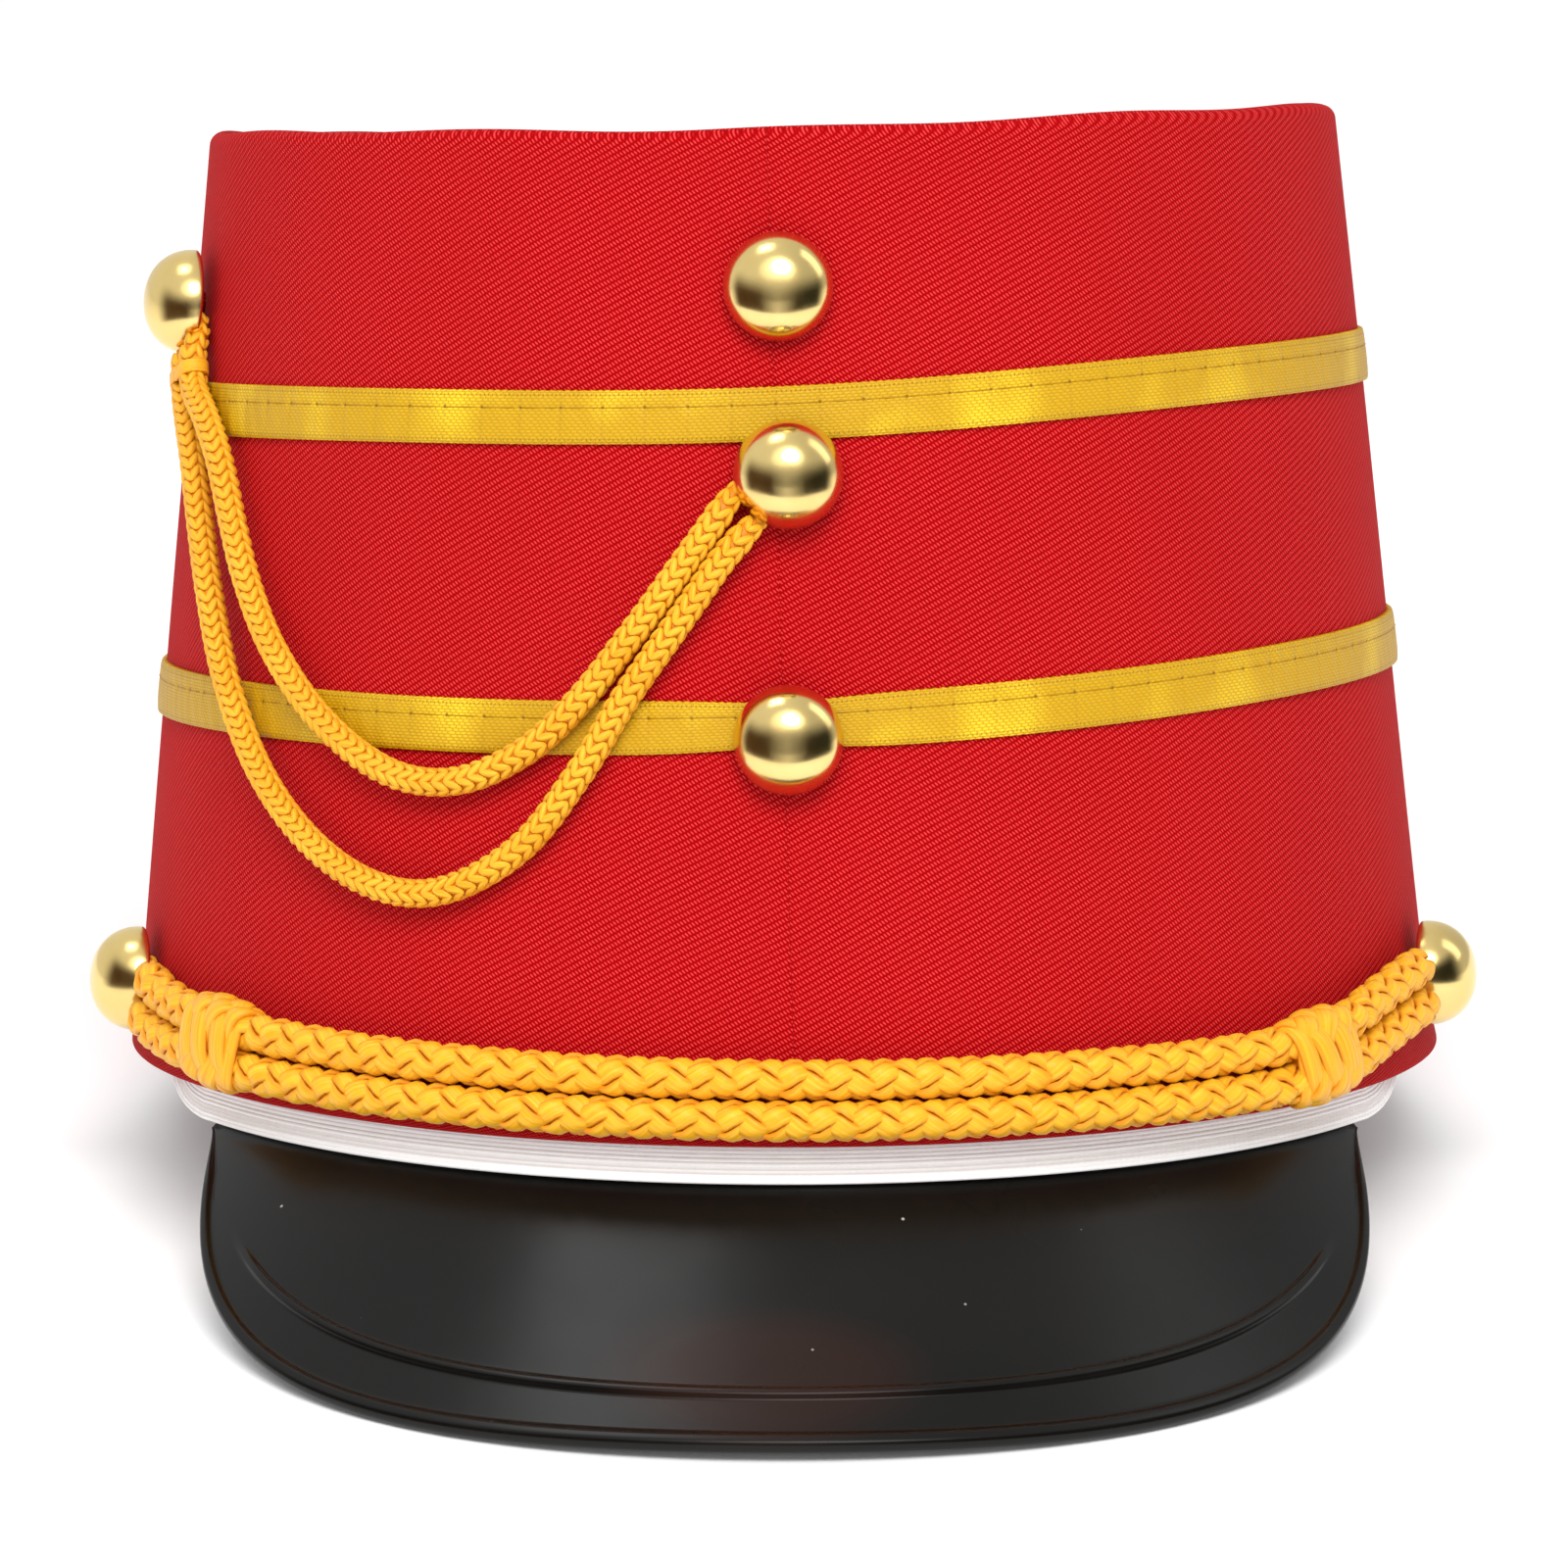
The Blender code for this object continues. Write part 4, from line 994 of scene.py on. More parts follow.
# The dark room behind the studio's lights, which only the bright metal shows: a low dull wall
# round the table that fades out at its top.
def dark_room():
    material, tree, shader = new_material(
        "dark_room_wall", Roughness=1.0, Specular_IOR_Level=0.0
    )
    place = add_node(tree, "ShaderNodeTexCoord").outputs["Object"]
    parts = add_node(tree, SEPARATE, {0: place})
    links = {0: parts.outputs["X"], 1: 2.0, 2: 0.5}
    side = add_node(tree, MATH, links, operation="MULTIPLY_ADD", use_clamp=True)
    links = {0: side, 6: opaque(linear("4A3420")), 7: opaque(linear("161A12"))}
    colour = add_node(tree, MIX, links, data_type="RGBA")
    tree.links.new(colour.outputs[2], shader.inputs["Base Color"])
    links = {
        "Value": parts.outputs["Z"], "From Min": DARK_ROOM_HEIGHT * 0.5,
        "From Max": DARK_ROOM_HEIGHT, "To Min": 1.0, "To Max": 0.0,
    }
    fade = add_node(tree, RANGE, links, interpolation_type="SMOOTHSTEP")
    off_middle = add_node(tree, MATH, {0: parts.outputs["X"]}, operation="ABSOLUTE")
    links = {"Value": off_middle, "From Max": 0.12, "To Min": 0.55}
    ends = add_node(tree, RANGE, links)
    links = {
        "Value": parts.outputs["Y"], "From Min": -0.12, "From Max": 0.03, "To Min": 1.0,
        "To Max": 0.0,
    }
    front = add_node(tree, RANGE, links, interpolation_type="SMOOTHSTEP")
    inner = add_node(tree, MATH, {0: fade, 1: ends}, operation="MULTIPLY")
    cover = add_node(tree, MATH, {0: inner, 1: front}, operation="MULTIPLY")
    tree.links.new(cover.outputs[0], shader.inputs["Alpha"])
    return material


def colour_setting(name, hex_colour, description):
    return FloatVectorProperty(
        name=name, description=description, default=linear(hex_colour), subtype="COLOR", size=3,
        min=0.0, max=1.0,
    )


def length_setting(name, default, description):
    return FloatProperty(
        name=name, description=description, default=default, min=0.0, unit="LENGTH", precision=5
    )


class SHAKO_PG_crown(bpy.types.PropertyGroup):
    """Sizes and colours of the crown's cloth."""

    twill_pitch: length_setting("Wale pitch", 0.00082, "Distance between the twill's wales")
    thread_pitch: length_setting("Thread pitch", 0.00046, "Distance between threads in a wale")
    twill_angle: FloatProperty(
        name="Wale angle", description="How steeply the wales rise to the right",
        default=math.radians(28.0), subtype="ANGLE",
    )
    ripple: length_setting("Ripple", 0.00035, "How far the cloth sinks between its high places")
    seam_depth: length_setting("Seam depth", 0.00040, "How deep the two upright seams lie")
    twill_colour: colour_setting("Cloth", "C4040A", "Colour of the twill's wales")
    # Painted shade in the grooves, also the colour of the random darker patches.
    groove_shade_and_patch_colour: colour_setting("Grooves", "880006", "Colour between the wales")
    # Painted highlights on the fibres.
    painted_fibre_highlight_colour: colour_setting("Painted fibre highlights", "E04A4A", "Colour of the brightest fibres")


class SHAKO_PG_ribbons(bpy.types.PropertyGroup):
    """Sizes and colours of the satin ribbons."""

    stitch_pitch: length_setting("Stitch pitch", 0.0056, "Length of one stitch of the sewing")
    stitch_drop: length_setting("Stitch drop", 0.0022, "Sewing's distance below the top edge")
    float_length: length_setting("Float length", 0.0009, "Length of one float of the satin")
    float_height: length_setting("Float height", 0.0004, "Height of one row of floats")
    pucker: length_setting("Pucker", 0.00007, "How deep the sewing draws the ribbon in")
    satin_colour: colour_setting("Satin", "CAA00A", "Colour of the ribbon's floats")
    # Painted shade between the floats.
    shade_colour: colour_setting("Shade", "B28304", "Colour between the floats")
    # Painted glints: random patches where the floats are brighter.
    painted_glint_colour: colour_setting("Light", "F0CC24", "Colour where the ribbon lies smooth")
    # The needle's holes and selvedge dots, and also the painted shade of the crease at each stitch.
    hole_and_crease_shade_colour: colour_setting("Holes", "8A5A10", "Colour of the needle's holes")


class SHAKO_PG_cords(bpy.types.PropertyGroup):
    """Sizes and colours of the braided and the knitted cords."""

    braid_strands: IntProperty(name="Braid strands", description="Strands in a rope", default=8)
    braid_pitch: length_setting("Braid pitch", 0.0229, "Length in which a strand goes once round")
    strand_width: length_setting("Strand width", 0.0028, "Width of a flat strand")
    strand_thickness: length_setting("Strand thickness", 0.0012, "Thickness of a flat strand")
    knit_pitch: length_setting("Knit pitch", 0.0018, "Length of one row of knitting")
    knit_stitches: IntProperty(
        name="Stitch legs", description="Legs of stitches round a knitted cord", default=8
    )
    cord_colour: colour_setting("Thread", "E29E12", "Main colour of the thread")
    # Painted highlight streaks on the thread.
    cord_painted_highlight: colour_setting("Painted thread highlight", "F2BA30", "Colour of the brightest fibres")
    # Painted shade where the thread dips, at its strands' edges and on the cores.
    cord_painted_shade: colour_setting("Painted thread shade", "D26A04", "Colour where the thread dips")


class SHAKO_PG_elastic(bpy.types.PropertyGroup):
    """Sizes and colours of the chin elastic."""

    ribs: IntProperty(name="Ribs", description="Ribs across the elastic", default=11)
    knit_pitch: length_setting("Knit pitch", 0.0009, "Length of one row of knitting")
    elastic_colour: colour_setting("Elastic", "EEEDEC", "Colour of the ribs")
    # Painted shade between the ribs.
    elastic_painted_shade: colour_setting("Valleys", "D2CCC9", "Colour between the ribs")


class SHAKO_PG_hard(bpy.types.PropertyGroup):
    """Colours of the peak and the buttons."""

    plastic_colour: colour_setting("Plastic", "090807", "Colour of the peak")
    plastic_light: colour_setting("Clouded plastic", "100F0D", "Colour of its flow marks")
    # A brown painted reflection low on the peak's front.
    painted_reflection_brown: colour_setting("Painted reflection", "2C1409", "Colour low at the front of the peak")
    dust_colour: colour_setting("Dust", "A8A49C", "Colour of the specks on it")
    gilt_colour: colour_setting("Gilt", "F4DA94", "Colour of the buttons")
    gilt_shade: colour_setting("Worn gilt", "E8C97C", "Colour of the buttons' hazed places")


class SHAKO_PG_stage(bpy.types.PropertyGroup):
    """The studio's floor and light."""

    floor_colour: colour_setting("Floor", "FAFAFA", "Colour of the floor")
    key_power: FloatProperty(
        name="Key light", description="Power of the large light above the camera", default=20.0,
        min=0.0, unit="POWER",
    )
    fill_light: FloatProperty(
        name="Fill light", description="Strength of the soft light from all sides", default=0.86,
        min=0.0,
    )


def developed(angle, height, turn):
    """Where a place on the crown lies on its cloth laid flat, along the wales and across them."""
    straight_rim = RIM_RADIUS - HEM_FLARE
    taper = math.atan((straight_rim - TOP_RADIUS) / CROWN_HEIGHT)
    slant_radius = crown_radius(angle, height) * (1.0 + OVAL) / 2.0 / math.sin(taper)
    fan = angle * math.sin(taper)
    flat_x = slant_radius * np.sin(fan)
    middle = (RIM_RADIUS + TOP_RADIUS) / 2.0 / math.sin(taper)
    flat_y = middle - slant_radius * np.cos(fan)
    along = flat_x * math.cos(turn) + flat_y * math.sin(turn)
    across = -flat_x * math.sin(turn) + flat_y * math.cos(turn)
    return np.stack((along, across), axis=-1)


def ripples(angle, height, depth):
    """How far the cloth sinks below the crown's plain face, from slow waves round and up it."""
    around_waves = ((5.0, 0.4, 21.0), (9.0, 2.1, -34.0), (14.0, 4.4, 55.0))
    total = 0.0
    for turns, start, climb in around_waves:
        total = total + np.sin(angle * turns + start + height * climb)
    return -depth * (0.5 + total / (2.0 * len(around_waves)))


def crown_columns():
    """Angles round the crown, once round, with fine steps at its front and back seams."""
    plain = np.radians(np.arange(-177.0, 178.0, 1.0))
    fine = np.radians((0.02, 0.1, 0.2, 0.32, 0.5, 0.8, 1.3, 2.0))
    plain = plain[np.abs(plain) > math.radians(2.5)]
    front = np.concatenate((-fine[::-1], fine))
    return np.sort(np.concatenate((plain, front, fine - math.pi, math.pi - fine)))


def seam_groove(angle, height, depth):
    """The two upright seams: a fine groove in a wider soft dent."""
    total = 0.0
    for place in (0.0, math.pi):
        away = np.angle(np.exp(1j * (angle - place))) * crown_radius(angle, height)
        total = total + depth * 0.4 * np.exp(-(away / SEAM_FINE) ** 2)
        total = total + depth * 0.6 * np.exp(-(away / SEAM_WIDE) ** 2)
    return -total


def wall_rows(angle):
    """The wall cut at each angle: heights and distances outward, round a closed section."""
    low = hem_height(angle) + HEM_LIFT * front_share(angle, 1.0)
    high = top_height(angle) + TOP_UNEVENNESS * np.sin(angle * 11.0 + 1.0)
    straight_top = high - TOP_EDGE_ROUND
    heights = []
    outwards = []
    for turn in np.linspace(0.0, math.pi / 2.0, HEM_STEPS):
        heights.append(low + HEM_ROUND * (1.0 - np.sin(turn)))
        outwards.append(HEM_ROUND * (np.cos(turn) - 1.0) * np.ones_like(angle))
    heights.reverse()
    outwards.reverse()
    bottom = low + HEM_ROUND
    for share in np.linspace(0.0, 1.0, WALL_STEPS)[1:]:
        heights.append(bottom + (straight_top - bottom) * share)
        outwards.append(np.zeros_like(angle))
    for turn in np.linspace(0.0, math.pi / 2.0, TOP_EDGE_STEPS)[1:]:
        heights.append(straight_top + TOP_EDGE_ROUND * np.sin(turn))
        outwards.append(TOP_EDGE_ROUND * (np.cos(turn) - 1.0) * np.ones_like(angle))
    for share in np.linspace(1.0, 0.0, INNER_STEPS):
        heights.append(low + HEM_ROUND * 0.5 + (high - HEM_ROUND - low) * share)
        outwards.append(-WALL * np.ones_like(angle))
    heights.append(low)
    outwards.append((-WALL + HEM_ROUND) * np.ones_like(angle))
    return np.stack(heights, axis=-1), np.stack(outwards, axis=-1)


class SHAKO_OT_crown(bpy.types.Operator):
    """Build the crown's twill wall and its flat top."""

    bl_idname = "shako.crown"
    bl_label = "Crown"

    def execute(self, context):
        settings = context.scene.shako_crown
        twill = red_twill(settings)
        angle = crown_columns()
        heights, outwards = wall_rows(angle)
        nearness = np.exp(-(angle[:, None] / 0.1) ** 2)
        columns = angle[:, None] + SEAM_LEAN * (0.6 - heights / CROWN_HEIGHT) * nearness
        face = np.clip(1.0 + outwards / WALL, 0.0, 1.0)
        sunk = ripples(columns, heights, settings.ripple)
        sunk = sunk + seam_groove(angle[:, None], heights, settings.seam_depth)
        points = to_frame(crown_point(columns, heights, outwards + sunk * face))
        half_step = math.radians(1.0)
        left = developed(columns, heights, settings.twill_angle - half_step)
        right = developed(columns, heights, settings.twill_angle + half_step)
        weave = np.where((angle >= 0.0)[:, None, None], right, left)
        fold = outwards[..., None] * np.array((0.3, 1.0))
        weave = weave + fold
        weave = np.concatenate((weave, weave[:, :1]), axis=1)
        weave = np.concatenate((weave, weave[-1:]), axis=0)
        wall = shell("crown_wall_twill", points, weave, True, True)
        add_piece("crown_wall_twill", close_holes(wall), "crown_wall", twill)
        self.add_tip(twill)
        return {"FINISHED"}

    def add_tip(self, twill):
        """The flat top: a disc set inside the wall that turns down at its rim."""
        angle = (math.tau * np.arange(TIP_SEGMENTS + 1) / TIP_SEGMENTS)[:, None]
        level = CROWN_HEIGHT - TIP_SUNK
        edge = crown_point(angle, level, -WALL + TIP_CLEARANCE)
        shares = np.array(TIP_SHARES)
        drops = np.zeros(len(shares))
        drops[:len(TIP_DROPS)] = TIP_DROPS
        points = edge[:, 0, None, :] * shares[None, :, None]
        plane = level + math.tan(TOP_SLANT) * points[..., 0]
        points[..., 2] = plane - drops + TIP_SWELL * np.sin(math.pi * shares)
        weave = points[..., :2].copy()
        top = shell("crown_tip_twill", to_frame(points[:-1]), weave, True, False)
        add_piece("crown_tip_twill", close_holes(top), "crown_tip", twill)


def ribbon_middle(angle, share, dip, sharpness):
    """The height of a ribbon's middle line."""
    slant = math.tan(RIBBON_SLANT) * RIM_RADIUS * np.sin(angle)
    return CROWN_HEIGHT * (share - dip * front_share(angle, sharpness)) + slant


class SHAKO_OT_ribbons(bpy.types.Operator):
    """Build the two satin ribbons and the row of sewing that holds each."""

    bl_idname = "shako.ribbons"
    bl_label = "Ribbons"

    def execute(self, context):
        settings = context.scene.shako_ribbons
        satin = yellow_satin(settings)
        stitches = laid_stitches_tree()
        for name, share, dip, sharpness, pinched in RIBBONS:
            angle = math.tau * np.arange(RIBBON_SEGMENTS + 1) / RIBBON_SEGMENTS - math.pi
            middle = ribbon_middle(angle, share, dip, sharpness)
            width = np.full_like(angle, RIBBON_WIDTH)
            if pinched:
                width = width - RIBBON_PINCH * np.exp(-(angle / RIBBON_PINCH_ANGLE) ** 2)
            run = angle * crown_radius(angle, middle)
            picot = PICOT_HEIGHT * np.sin(run * math.tau / PICOT_LENGTH)
            drop = settings.stitch_drop / RIBBON_WIDTH
            at_stitch = np.abs(np.cos(run * math.pi / settings.stitch_pitch)) ** 24
            places = np.unique(RIBBON_ROW_SHARES + (0.5 - drop,))
            rows = middle[:, None] + width[:, None] * places[None, :]
            rows[:, 0] -= picot * 0.5
            rows[:, -1] += picot
            swell = RIBBON_SWELL * (1.0 - (2.0 * places) ** 4)
            near_stitch = np.exp(-((places - (0.5 - drop)) * RIBBON_WIDTH / PUCKER_WIDTH) ** 2)
            draw = settings.pucker * near_stitch[None, :] * (0.5 + at_stitch[:, None] * 1.5)
            waves = run[:, None] * math.tau / RIBBON_WAVE_LENGTH + places[None, :] * 5.0
            out = GAP * 0.4 + RIBBON_THICKNESS + swell[None, :] - draw + RIBBON_WAVE * np.sin(waves)
            out[:, 0] -= RIBBON_SWELL
            out[:, -1] -= RIBBON_SWELL
            front = crown_point(angle[:, None], rows, out)
            back = crown_point(angle[:, None], rows[:, ::-1], np.full_like(rows, -GAP))
            points = to_frame(np.concatenate((front, back), axis=1))
            lie_up = np.concatenate((places, places[::-1], places[:1])) * RIBBON_WIDTH
            weave = np.stack(np.broadcast_arrays(run[:, None], lie_up[None, :]), axis=-1)
            band = shell(name + "_satin", points[:-1], weave, True, True)
            add_piece(name + "_satin", close_holes(band), name, satin)
            self.add_sewing(name, stitches, satin, settings, share, dip, sharpness)
        return {"FINISHED"}

    def add_sewing(self, name, tree, satin, settings, share, dip, sharpness):
        """The thread on the ribbon's face, one long stitch after another."""
        radius = crown_radius(0.0, CROWN_HEIGHT * share)
        count = round(math.tau * radius / settings.stitch_pitch)
        angle = math.tau * (np.arange(count) + 0.5) / count - math.pi
        height = ribbon_middle(angle, share, dip, sharpness)
        height = height + RIBBON_WIDTH / 2.0 - settings.stitch_drop
        out = GAP * 0.4 + RIBBON_THICKNESS + SEWING_RISE
        points = to_frame(crown_point(angle, height, out))
        guide = guide_line(points, turned(crown_axes(angle, height)[2]), 0.0, 1.0, closed=True)
        mesh = grown_mesh(name + "_sewing", guide, tree, {
            "Stitches Around": 1, "Lean": 0.0, "Cord Radius": 0.0, "Core Radius": 0.00002,
            "Stitch Length": settings.stitch_pitch * 0.9, "Stitch Width": SEWING_WIDTH,
            "Stitch Depth": SEWING_THICKNESS, "Material": satin,
        })
        add_piece(name + "_sewing", mesh)


def button_rows(shank, skirt):
    """Half of a button cut through its middle: foot, shank, hollow back, rolled edge and dome.

    The skirt is how far the edge comes down below the hollow back.
    """
    radius = BUTTON_DIAMETER / 2.0
    lip = BUTTON_LIP / 2.0
    edge = shank - skirt
    rows = [(BUTTON_POLE, 0.0), (SHANK_DIAMETER / 2.0, 0.0), (SHANK_DIAMETER / 2.0, shank)]
    rows.append((radius - BUTTON_LIP * 1.6, shank))
    for turn in np.linspace(-math.pi, 0.0, 11):
        rows.append((radius - lip + lip * math.cos(turn), edge + lip + lip * math.sin(turn)))
    for turn in np.linspace(0.0, math.pi / 2.0, 28)[1:]:
        rise = (BUTTON_DOME + skirt - lip) * math.sin(turn)
        across = radius * math.cos(turn) ** BUTTON_ROUNDNESS
        rows.append((max(BUTTON_POLE, across), edge + lip + rise))
    return np.array(rows)


class SHAKO_OT_buttons(bpy.types.Operator):
    """Build the six gilt dome buttons."""

    bl_idname = "shako.buttons"
    bl_label = "Buttons"

    def execute(self, context):
        brass = gilt(context.scene.shako_hard)
        for name, degrees, share, over_ribbon, over_cords in BUTTONS:
            shank = SHANK_OVER_CORD if over_cords else SHANK_SHORT
            foot = GAP * 2.0 + RIBBON_THICKNESS if over_ribbon else GAP
            angle = math.radians(degrees)
            height = CROWN_HEIGHT * share
            along, upward, out = crown_axes(angle, height)
            rows = button_rows(shank, BUTTON_SKIRT if over_cords else BUTTON_SKIRT / 3.0)
            spin = math.tau * np.arange(BUTTON_SEGMENTS) / BUTTON_SEGMENTS
            ring = along * np.cos(spin)[:, None] + upward * np.sin(spin)[:, None]
            points = ring[:, None, :] * rows[None, :, 0, None] + out * rows[None, :, 1, None]
            points = to_frame(points + crown_point(angle, height, foot))
            weave = np.zeros((BUTTON_SEGMENTS + 1, len(rows), 2))
            mesh = close_holes(shell(name + "_gilt", points, weave, True, False))
            add_piece(name + "_gilt", mesh, name, brass)
        return {"FINISHED"}


def peak_length(angle):
    """How far the peak reaches down its slope at an angle."""
    share = 1.0 - (abs(angle) / PEAK_ANGLE) ** PEAK_OUTLINE_POWER
    share = max(0.0, share) ** PEAK_OUTLINE_FULLNESS
    return PEAK_LENGTH * (PEAK_END_SHARE + (1.0 - PEAK_END_SHARE) * share)


def peak_rows(angle):
    """The peak cut at one angle, as distances out from its root and down from the hem."""
    length = peak_length(angle)
    bead = min(1.0, length / BEAD_FULL_LENGTH)
    bead_width = BEAD_WIDTH * bead
    ridge_at = length * (RIDGE_SHARE - RIDGE_SIDE_SHARE * (angle / RIDGE_ANGLE) ** 2)
    ridge_at = max(ridge_at, length * 0.4)
    fade = float(ease((RIDGE_ANGLE - abs(angle)) / RIDGE_FADE_ANGLE))
    ridge_width = RIDGE_WIDTH * bead * 0.5
    rise = BEAD_HEIGHT * bead
    nose = bead_width * NOSE_SHARE
    half = (PEAK_THICKNESS + rise * 1.4) / 2.0
    bend = PEAK_BEND * min(1.0, length / PEAK_BEND_FULL_LENGTH)
    plain_end = length - bead_width
    runs = np.concatenate((
        np.linspace(bend, ridge_at - ridge_width * 1.6, 10),
        np.linspace(ridge_at - ridge_width * 1.5, ridge_at + ridge_width * 1.5, 17),
        np.linspace(ridge_at + ridge_width * 1.6, plain_end - bead_width * 0.35, 6),
        np.linspace(plain_end - bead_width * 0.3, length - nose, 9),
    ))
    ups = RIDGE_HEIGHT * fade * bead * np.exp(-((runs - ridge_at) / (ridge_width * 0.62)) ** 4)
    ups = ups + rise * ease((runs - plain_end + bead_width * 0.2) / (bead_width * 0.5))
    middle = rise - half
    for turn in np.linspace(math.pi / 2.0, -math.pi / 2.0, 13)[1:]:
        runs = np.append(runs, length - nose + nose * math.cos(turn))
        ups = np.append(ups, middle + half * math.sin(turn))
    under = np.linspace(length - nose - bead_width * 0.4, length * 0.3, 6)
    runs = np.append(runs, under)
    ups = np.append(ups, np.full(6, -PEAK_THICKNESS))
    cosine = math.cos(PEAK_SLOPE)
    sine = math.sin(PEAK_SLOPE)
    drop = ELASTIC_DROP + ELASTIC_WIDTH / 2.0 + GAP
    outs = runs * cosine + ups * sine
    falls = drop + runs * sine - ups * cosine
    start = np.array((0.0, drop - bend))
    corner = np.array((0.0, drop))
    end = np.array((outs[0], falls[0]))
    t = np.linspace(0.0, 1.0, 7)[:-1, None]
    turn_out = (1.0 - t) ** 2 * start + 2.0 * t * (1.0 - t) * corner + t ** 2 * end
    inner = drop + PEAK_THICKNESS * (cosine - (1.0 - sine) * sine / cosine)
    back = np.array([(-PEAK_THICKNESS, fall) for fall in (inner, drop * 0.5, 0.0)])
    return np.concatenate((np.zeros((1, 2)), turn_out, np.stack((outs, falls), axis=1), back))


class SHAKO_OT_peak(bpy.types.Operator):
    """Build the moulded peak, with its bead, its ridge and the flange inside the crown."""

    bl_idname = "shako.peak"
    bl_label = "Peak"

    def execute(self, context):
        plastic = black_plastic(context.scene.shako_hard)
        stack = WALL + GAP + ELASTIC_THICKNESS + GAP
        sections = []
        for angle in np.linspace(-PEAK_ANGLE, PEAK_ANGLE, PEAK_SEGMENTS + 1):
            hem = hem_height(angle)
            root = crown_point(angle, hem, -stack)
            out = np.array((math.sin(angle), -math.cos(angle), 0.0))
            rows = peak_rows(angle)
            points = root + out * rows[:, :1] - np.array((0.0, 0.0, 1.0)) * rows[:, 1:]
            tuck = [crown_point(angle, hem + PEAK_TUCK, -stack - PEAK_THICKNESS)]
            tuck.append(crown_point(angle, hem + PEAK_TUCK, -stack))
            sections.append(np.vstack((points, tuck)))
        points = to_frame(np.array(sections))
        weave = np.zeros((len(sections), points.shape[1] + 1, 2))
        mesh = close_holes(shell("peak_plastic", points, weave, False, True))
        mesh.set_sharp_from_angle(angle=SHARP_EDGE)
        add_piece("peak_plastic", mesh, "peak", plastic)
        return {"FINISHED"}


class SHAKO_OT_elastic(bpy.types.Operator):
    """Build the ribbed chin elastic, turned up round the front."""

    bl_idname = "shako.elastic"
    bl_label = "Chin elastic"

    def execute(self, context):
        settings = context.scene.shako_elastic
        rows = [(angle, hem_height(angle) - ELASTIC_DROP)
                for angle in np.linspace(-ELASTIC_STRAIGHT, ELASTIC_STRAIGHT, 60)]
        foot = rows[-1][1]
        for degrees, share in ELASTIC_CLIMB_ROWS:
            angle = ELASTIC_STRAIGHT + math.radians(degrees)
            rows.append((angle, foot + ELASTIC_CLIMB * share))
            rows.insert(0, (-angle, foot + ELASTIC_CLIMB * share))
        depth = -WALL - GAP - ELASTIC_THICKNESS / 2.0

        def place(route):
            return crown_point(route[:, 0], route[:, 1], depth)

        route, runs = evenly_spaced(smooth_route(rows), place, ELASTIC_SPACING)
        _, _, out = crown_axes(route[:, 0], route[:, 1])
        guide = guide_line(to_frame(place(route)), turned(out), runs, 1.0)
        pitch = ELASTIC_WIDTH / settings.ribs
        mesh = grown_mesh("chin_elastic_ribbed", guide, wound_strands_tree(), {
            "Strands": settings.ribs, "Spread": pitch, "Strand Width": pitch * RIB_OVERLAP,
            "Strand Thickness": ELASTIC_THICKNESS, "Material": white_elastic(settings),
        })
        add_piece("chin_elastic_ribbed", mesh, "chin_elastic")
        return {"FINISHED"}


def cord_share(runs, under, tail):
    """Zero at a cord's ends, which lie thin under a button, rising to one past its rim."""
    return ease((np.minimum(runs, runs[-1] - runs) - under) / tail)


def cord_guide(route, runs, full_offset, diameter, end_diameter, share):
    """A cord's guide line and its points. Its ends lie thin and close to the crown."""
    end_offset = GAP + end_diameter / 2.0
    offset = end_offset + (full_offset - end_offset) * share
    thin = end_diameter / diameter
    points = to_frame(crown_point(route[:, 0], route[:, 1], offset))
    out = turned(crown_axes(route[:, 0], route[:, 1])[2])
    return guide_line(points, out, runs, thin + (1.0 - thin) * share), points


def knot_share(angle):
    """One at a slider knot, falling to nothing a knot's length away from it."""
    reach = KNOT_LENGTH * 1.3 / RIM_RADIUS
    nearest = np.min([np.abs(angle - math.radians(degrees)) for _, degrees in KNOT_ANGLES], axis=0)
    return ease(1.0 - np.maximum(0.0, nearest / reach - 0.5))


def strand_offset(angle):
    """How far off the crown a full rope's middle runs. The knots lift it."""
    plain = STRAND_SEAT + STRAND_DIAMETER / 2.0
    lifted = GAP + KNOT_BACK_WRAP + GAP + STRAND_DIAMETER / 2.0
    return plain + max(0.0, lifted - plain) * knot_share(angle)


def cap_cord_route():
    """The line that runs between the cap cord's two ropes."""
    return smooth_route([(math.radians(degrees), height) for degrees, height in CAP_CORD_ROUTE])


def beside_cap_cord(route, shift):
    """The route that runs a given length above the cap cord's middle line."""
    slope = unit(np.gradient(route, axis=0) * np.array((RIM_RADIUS, 1.0)))
    return route + np.stack((-slope[:, 1] * shift / RIM_RADIUS, slope[:, 0] * shift), axis=1)


